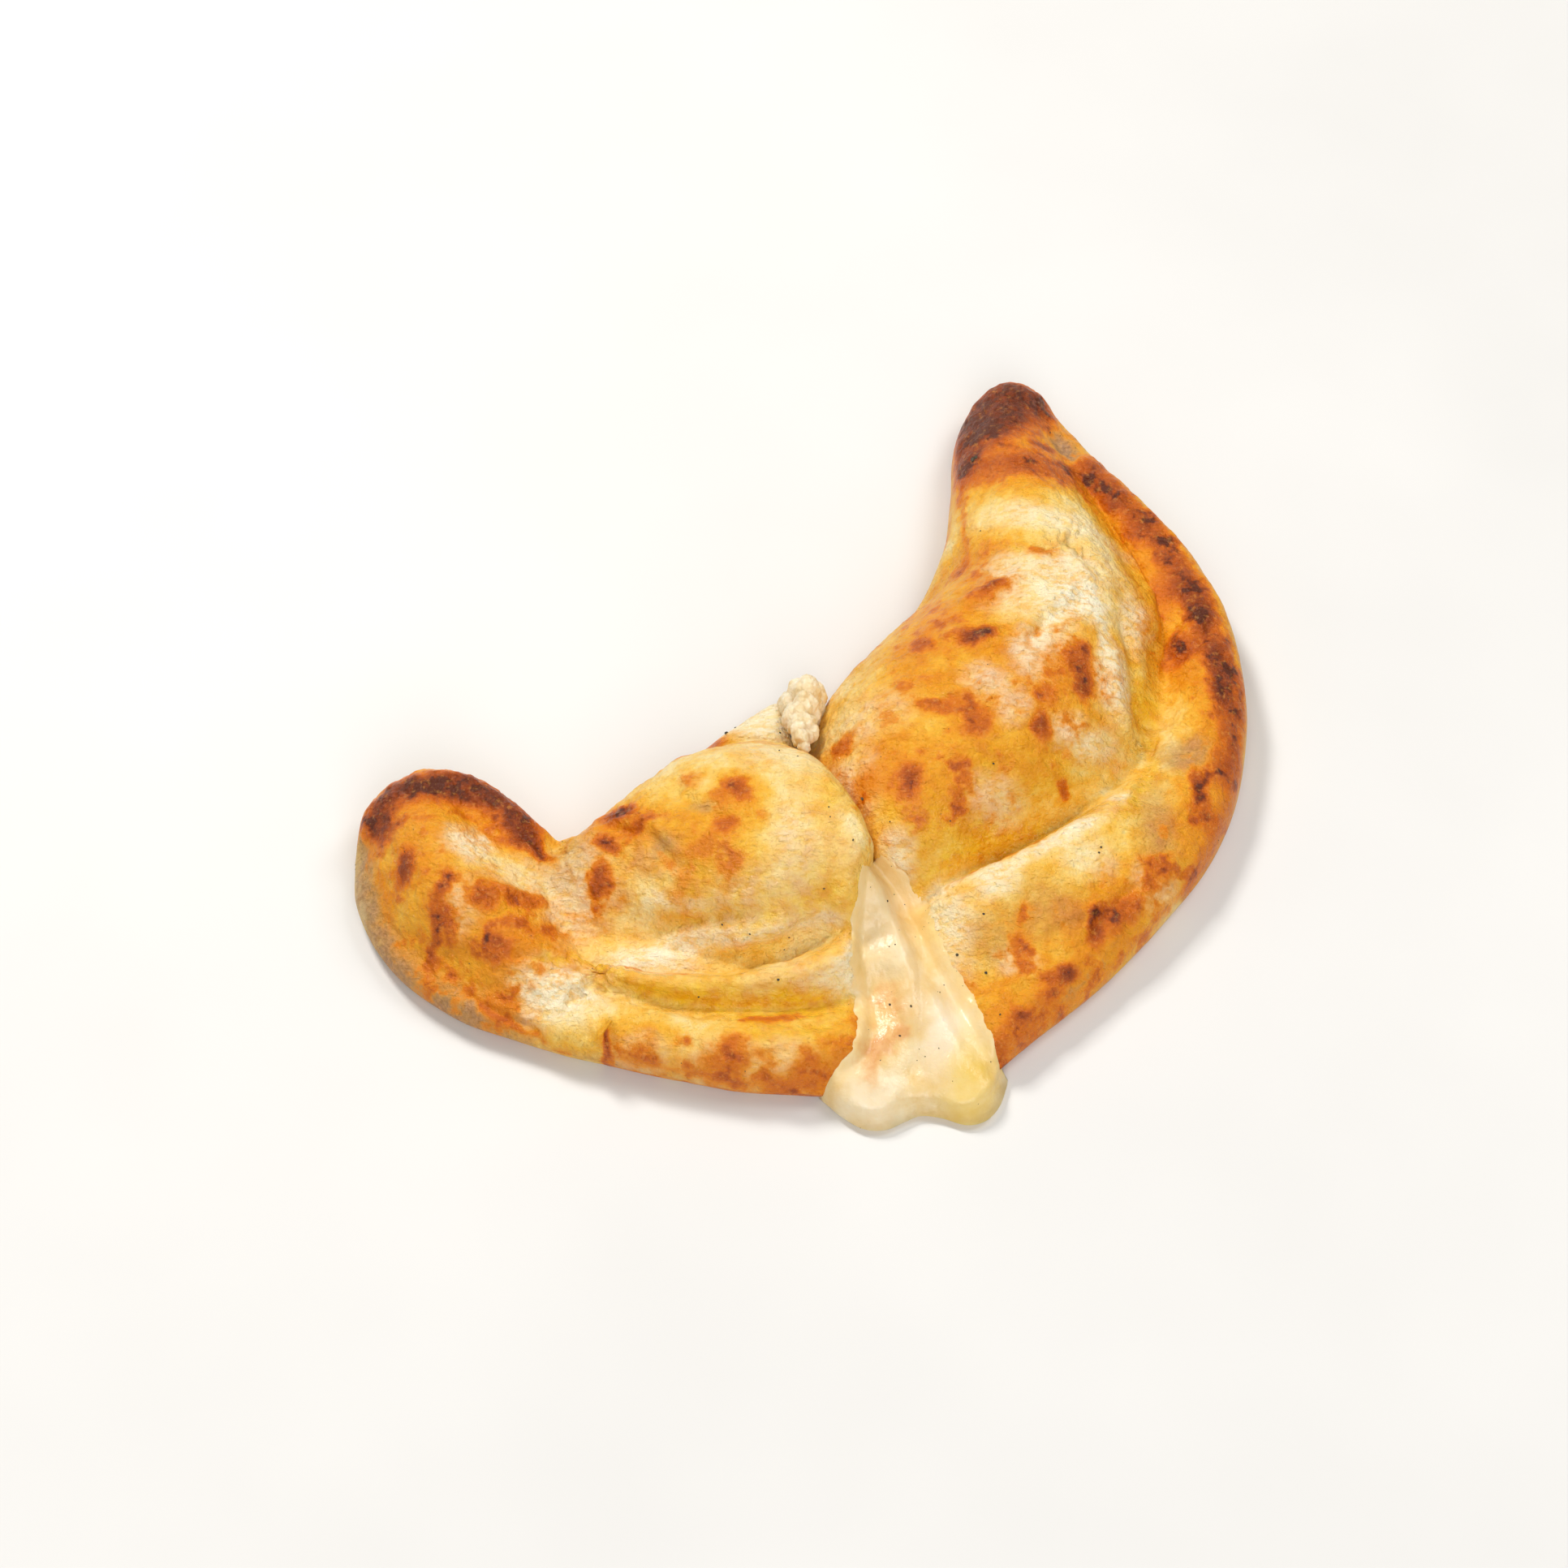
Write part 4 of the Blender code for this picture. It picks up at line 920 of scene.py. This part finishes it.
class Shader:
    """A procedural material, built from a few kinds of node."""

    def __init__(self, name):
        self.material = bpy.data.materials.new(name)
        self.material.use_nodes = True
        self.tree = self.material.node_tree
        self.surface = self.tree.nodes["Principled BSDF"]
        self.place = self.tree.nodes.new("ShaderNodeTexCoord").outputs["Object"]

    def put(self, socket, value):
        if isinstance(value, bpy.types.NodeSocket):
            self.tree.links.new(value, socket)
        else:
            socket.default_value = value

    def mask(self, name):
        node = self.tree.nodes.new("ShaderNodeAttribute")
        node.attribute_name = name
        return node.outputs["Fac"]

    def noise(self, size, detail=4.0, roughness=0.55, stretch=(1, 1, 1)):
        """Noise from 0 to 1, with its largest grains of the given size in millimetres."""
        mapping = self.tree.nodes.new("ShaderNodeMapping")
        mapping.inputs["Scale"].default_value = [s / (size * MM) for s in stretch]
        self.put(mapping.inputs["Vector"], self.place)
        node = self.tree.nodes.new("ShaderNodeTexNoise")
        self.put(node.inputs["Vector"], mapping.outputs["Vector"])
        node.inputs["Scale"].default_value = 1.0
        node.inputs["Detail"].default_value = detail
        node.inputs["Roughness"].default_value = roughness
        return node.outputs["Fac"]

    def math(self, operation, a, b, clamp=False):
        node = self.tree.nodes.new("ShaderNodeMath")
        node.operation = operation
        node.use_clamp = clamp
        self.put(node.inputs[0], a)
        self.put(node.inputs[1], b)
        return node.outputs[0]

    def spread(self, value, low, high, to_low=0.0, to_high=1.0):
        """value carried from one range to another, and kept in it."""
        node = self.tree.nodes.new("ShaderNodeMapRange")
        node.interpolation_type = "SMOOTHSTEP"
        for socket, number in zip(node.inputs[1:5], (low, high, to_low, to_high)):
            socket.default_value = number
        self.put(node.inputs[0], value)
        return node.outputs[0]

    def ramp(self, value, stops):
        node = self.tree.nodes.new("ShaderNodeValToRGB")
        elements = node.color_ramp.elements
        while len(elements) < len(stops):
            elements.new(0.5)
        for element, (place, colour) in zip(elements, stops):
            element.position = place
            element.color = colour
        self.put(node.inputs[0], value)
        return node.outputs["Color"]

    def mix(self, share, a, b):
        node = self.tree.nodes.new("ShaderNodeMix")
        node.data_type = "RGBA"
        self.put(node.inputs[0], share)
        self.put(node.inputs[6], a)
        self.put(node.inputs[7], b)
        return node.outputs[2]

    def bump(self, height, depth, strength=1.0, normal=None):
        node = self.tree.nodes.new("ShaderNodeBump")
        node.inputs["Strength"].default_value = strength
        node.inputs["Distance"].default_value = depth * MM
        self.put(node.inputs["Height"], height)
        if normal is not None:
            self.put(node.inputs["Normal"], normal)
        return node.outputs["Normal"]

    def finish(self, **values):
        for name, value in values.items():
            self.put(self.surface.inputs[name.replace("_", " ")], value)
        return self.material


def baked_dough():
    """Baked dough: cream to golden, orange and brown where it is toasted, yellow where oil lies on it."""
    s = Shader("baked_dough")
    amber, toast, oil, pale, raw = (s.mask(kind) for kind in MARK_KINDS)
    clouds = s.noise(11.0, 4)
    blots = s.noise(3.2, 5, 0.6)
    grain = s.noise(0.9, 4, 0.65)
    flecks = s.noise(1.7, 3, 0.6, (0.7, 1.3, 1))
    tone = s.math("ADD", s.math("MULTIPLY", clouds, 0.68), s.math("MULTIPLY", blots, 0.50))
    tone = s.math("ADD", s.math("SUBTRACT", tone, 0.19), s.math("MULTIPLY", amber, 0.34))
    dough = s.ramp(tone, [
        (0.30, srgb(252, 222, 148)), (0.42, srgb(249, 203, 98)), (0.54, srgb(244, 181, 52)),
        (0.68, srgb(235, 155, 18)), (0.80, srgb(225, 135, 4)),
    ])
    # Pale dough and painted highlights: these marks lighten the dough towards a cream white.
    whiteness_and_highlight = s.math("MULTIPLY", pale, s.spread(flecks, 0.32, 0.60, 0.35, 1.1), clamp=True)
    colour = s.mix(whiteness_and_highlight, dough, srgb(254, 240, 205))
    wet = s.math("MULTIPLY", oil, s.spread(clouds, 0.3, 0.65, 0.8, 1.0), clamp=True)
    colour = s.mix(wet, colour, s.ramp(blots, [(0.35, srgb(250, 196, 6)), (0.62, srgb(232, 156, 0))]))
    # Unbrowned dough with painted shade: these marks turn it a darker greyish brown.
    greyness_and_shade = s.math("MULTIPLY", raw, s.spread(blots, 0.2, 0.6, 0.7, 1.0), clamp=True)
    colour = s.mix(greyness_and_shade, colour, s.ramp(grain, [(0.35, srgb(150, 107, 74)), (0.65, srgb(194, 150, 108))]))
    mottle = s.math("ADD", s.math("MULTIPLY", s.math("SUBTRACT", blots, 0.5), 0.55),
                    s.math("MULTIPLY", s.math("SUBTRACT", grain, 0.5), 0.45))
    freckles = s.math("MULTIPLY", s.spread(s.noise(4.6, 3), 0.44, 0.72), s.math("MULTIPLY", amber, 0.50))
    toast = s.math("MAXIMUM", toast, s.math("ADD", s.math("MULTIPLY", toast, 0.8), freckles))
    burn = s.math("ADD", toast, s.math("MULTIPLY", mottle, s.spread(toast, 0.0, 0.5, 0.12, 0.6)))
    brown = s.ramp(burn, [
        (0.12, srgb(242, 166, 34)), (0.34, srgb(232, 140, 8)), (0.56, srgb(214, 110, 2)),
        (0.76, srgb(184, 84, 2)), (0.92, srgb(134, 54, 6)), (1.0, srgb(94, 38, 12)),
    ])
    colour = s.mix(s.spread(burn, 0.04, 0.45), colour, brown)
    # Painted glints: small light flecks scattered over the browned dough.
    glint_flecks = s.math("MULTIPLY", s.spread(s.noise(1.2, 3, 0.6), 0.54, 0.72), s.spread(burn, 0.1, 0.5, 0.0, 0.35))
    colour = s.mix(glint_flecks, colour, srgb(238, 164, 70))
    rough = s.spread(oil, 0.0, 0.8, 0.40, 0.20)
    rough = s.math("ADD", rough, s.math("MULTIPLY", raw, 0.2))
    rough = s.math("ADD", rough, s.math("MULTIPLY", s.math("SUBTRACT", grain, 0.5), 0.25), clamp=True)
    normal = s.bump(blots, 1.0)
    normal = s.bump(flecks, 0.9, 1.0, normal)
    normal = s.bump(grain, 0.45, 1.0, normal)
    return s.finish(
        Base_Color=colour, Roughness=rough, Normal=normal, Coat_Normal=normal, Specular_IOR_Level=0.18,
        Coat_Weight=s.spread(oil, 0.0, 0.8, 0.28, 0.8), Coat_Roughness=0.09, Subsurface_Weight=0.12,
        Subsurface_Radius=(1.0, 0.45, 0.15), Subsurface_Scale=0.002,
    )


def melted_cheese():
    """Melted cheese: creamy, glossy, with yellow oil at its rims and a pinkish browned patch."""
    s = Shader("melted_cheese")
    veil, toast, oil, pale, raw = (s.mask(kind) for kind in MARK_KINDS)
    clouds = s.noise(8.0, 4)
    blots = s.noise(2.4, 4, 0.6)
    grain = s.noise(0.8, 3)
    colour = s.ramp(clouds, [
        (0.34, srgb(240, 218, 172)), (0.52, srgb(233, 201, 138)), (0.66, srgb(224, 184, 104)),
    ])
    colour = s.mix(s.math("MULTIPLY", veil, s.spread(blots, 0.3, 0.6, 0.3, 0.8)), colour, srgb(241, 206, 140))
    # Pale cheese and painted highlights.
    colour = s.mix(pale, colour, srgb(246, 231, 202))
    colour = s.mix(s.math("MULTIPLY", oil, 0.8), colour, srgb(234, 198, 84))
    # Darker tan patches.
    colour = s.mix(s.math("MULTIPLY", raw, 0.7), colour, srgb(224, 186, 126))
    burn = s.math("ADD", toast, s.math("MULTIPLY", s.math("SUBTRACT", blots, 0.5), 0.4))
    brown = s.ramp(burn, [(0.1, srgb(242, 196, 118)), (0.4, srgb(224, 150, 72)), (0.7, srgb(196, 108, 44))])
    colour = s.mix(s.spread(burn, 0.08, 0.55, 0.0, 0.75), colour, brown)
    normal = s.bump(blots, 0.25)
    normal = s.bump(grain, 0.06, 1.0, normal)
    return s.finish(
        Base_Color=colour, Roughness=s.spread(grain, 0.3, 0.7, 0.30, 0.44), Normal=normal, Coat_Normal=normal,
        Coat_Weight=0.22, Coat_Roughness=0.14, Subsurface_Weight=0.20, Subsurface_Radius=(1.0, 0.7, 0.35),
        Subsurface_Scale=0.002,
    )


def ricotta():
    """Ricotta: white, moist and crumbly."""
    s = Shader("ricotta")
    grain = s.noise(0.9, 4, 0.6)
    colour = s.ramp(s.noise(3.0), [(0.35, srgb(246, 232, 200)), (0.65, srgb(230, 204, 152))])
    return s.finish(
        Base_Color=colour, Roughness=s.spread(grain, 0.3, 0.7, 0.32, 0.5), Normal=s.bump(grain, 0.35),
        Subsurface_Weight=0.3, Subsurface_Radius=(1.0, 0.8, 0.6), Subsurface_Scale=0.003,
    )


def pepper():
    s = Shader("pepper")
    colour = s.ramp(s.noise(0.8), [(0.4, srgb(34, 26, 20)), (0.6, srgb(74, 62, 30))])
    return s.finish(Base_Color=colour, Roughness=s.spread(s.noise(0.3), 0.3, 0.7, 0.45, 0.8))


def table_top():
    s = Shader("table_top")
    colour = s.ramp(s.noise(120.0, 3), [(0.3, srgb(226, 224, 220)), (0.7, srgb(232, 230, 226))])
    return s.finish(Base_Color=colour, Roughness=0.55)


def build_food():
    shared = smooth_path(plan_shift(SHARED_CUT), 60)
    across = np.array(CUT_ACROSS) * SHARED_GAP
    left_lip = smooth_path(plan_shift(LEFT_LIP), 120)
    right_lip = smooth_path(plan_shift(RIGHT_LIP), 120)
    left_mouth = smooth_path(plan_shift(LEFT_MOUTH), 40)
    right_mouth = smooth_path(plan_shift(RIGHT_MOUTH), 40)
    cut_left = np.concatenate([left_mouth, shared[1:], left_lip[1:]])
    cut_right = np.concatenate([right_mouth, (shared + across)[1:], right_lip[1:]])
    left_rolls = {**LEFT_ROLLS, "tip fill": LEFT_TIP_FILL}
    left = Half(LEFT_STATIONS, LEFT_COLUMNS, left_rolls, cut_left, LEFT_CUT_DROP, LEFT_CUT_ROUND)
    right = Half(RIGHT_STATIONS, RIGHT_COLUMNS, RIGHT_ROLLS, cut_right, RIGHT_CUT_DROP, RIGHT_CUT_ROUND)

    left_marks = (LEFT_SPOTS, LEFT_STROKES, LEFT_RIDGES, LEFT_FANS)
    right_marks = (RIGHT_SPOTS, RIGHT_STROKES, RIGHT_RIDGES, RIGHT_FANS)
    left_piece, left_surface = dough_piece("left_half", left, *left_marks, 1)
    right_piece, right_surface = dough_piece("right_half", right, *right_marks, 2)
    cheese, cheese_surface = cheese_piece("melted_cheese", left_surface, right_surface, 3)
    curds = curd_piece("ricotta_lumps")

    dough = baked_dough()
    for piece, material, slot, node in (
        (left_piece, dough, "baked_crust", "crust_left"),
        (right_piece, dough, "baked_crust", "crust_right"),
        (cheese, melted_cheese(), "melted_cheese", "cheese_filling"),
        (curds, ricotta(), "ricotta", "ricotta_curd"),
    ):
        piece.data.materials.append(material)
        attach(piece, "root")
        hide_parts(node)

    rng = np.random.default_rng(5)
    seats = []
    for surface, specks in (
        (left_surface, LEFT_SPECKS), (right_surface, RIGHT_SPECKS), (cheese_surface, CHEESE_SPECKS),
    ):
        seats += [(surface.seat(u, v), size) for u, v, size in specks]
        for index in rng.integers(0, len(surface.points), FREE_SPECKS // 3):
            seats.append((surface.points[index], rng.uniform(0.15, 0.32)))
    bits = speck_piece("pepper_specks", seats)
    bits.data.materials.append(pepper())
    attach(bits, "root")


def area_light(name, place, size, power, colour=(1, 1, 1)):
    """A soft light that faces the food."""
    light = bpy.data.lights.new(name, "AREA")
    light.size = size
    light.energy = power
    light.color = colour
    holder = bpy.data.objects.new(name, light)
    holder.location = place
    holder.rotation_euler = Vector(place).to_track_quat("Z", "Y").to_euler()
    bpy.context.scene.collection.objects.link(holder)


def build_studio():
    floor = bpy.data.meshes.new("floor")
    work = bmesh.new()
    bmesh.ops.create_grid(work, x_segments=2, y_segments=2, size=4.0)
    work.to_mesh(floor)
    work.free()
    floor.materials.append(table_top())
    stand = bpy.data.objects.new("floor", floor)
    stand.location.z = -0.0002
    bpy.context.scene.collection.objects.link(stand)

    area_light("window", (-0.50, 0.70, 0.95), 0.28, 11.0, (1.0, 0.98, 0.95))
    area_light("overhead", (0.60, 0.25, 1.0), 0.5, 4.0)
    area_light("front", (0.1, -1.0, 0.85), 0.9, 9.0)

    world = bpy.data.worlds.new("studio")
    world.use_nodes = True
    background = world.node_tree.nodes["Background"]
    background.inputs["Color"].default_value = (1.0, 1.0, 1.0, 1.0)
    background.inputs["Strength"].default_value = 0.24
    bpy.context.scene.world = world
    bpy.context.scene.view_settings.view_transform = "Standard"

    look = Vector((SHIFT[0] * MM, SHIFT[1] * MM, 0))
    camera = bpy.data.objects.new("camera", bpy.data.cameras.new("camera"))
    camera.location = look + Vector(BACK) * DISTANCE * MM
    camera.rotation_mode = "QUATERNION"
    camera.rotation_quaternion = (-Vector(BACK)).to_track_quat("-Z", "Y")
    camera.data.lens = PIXELS_PER_MM * DISTANCE / PHOTO_SIZE * SENSOR
    camera.data.sensor_width = SENSOR
    bpy.context.scene.collection.objects.link(camera)
    bpy.context.scene.camera = camera


build_food()
build_studio()
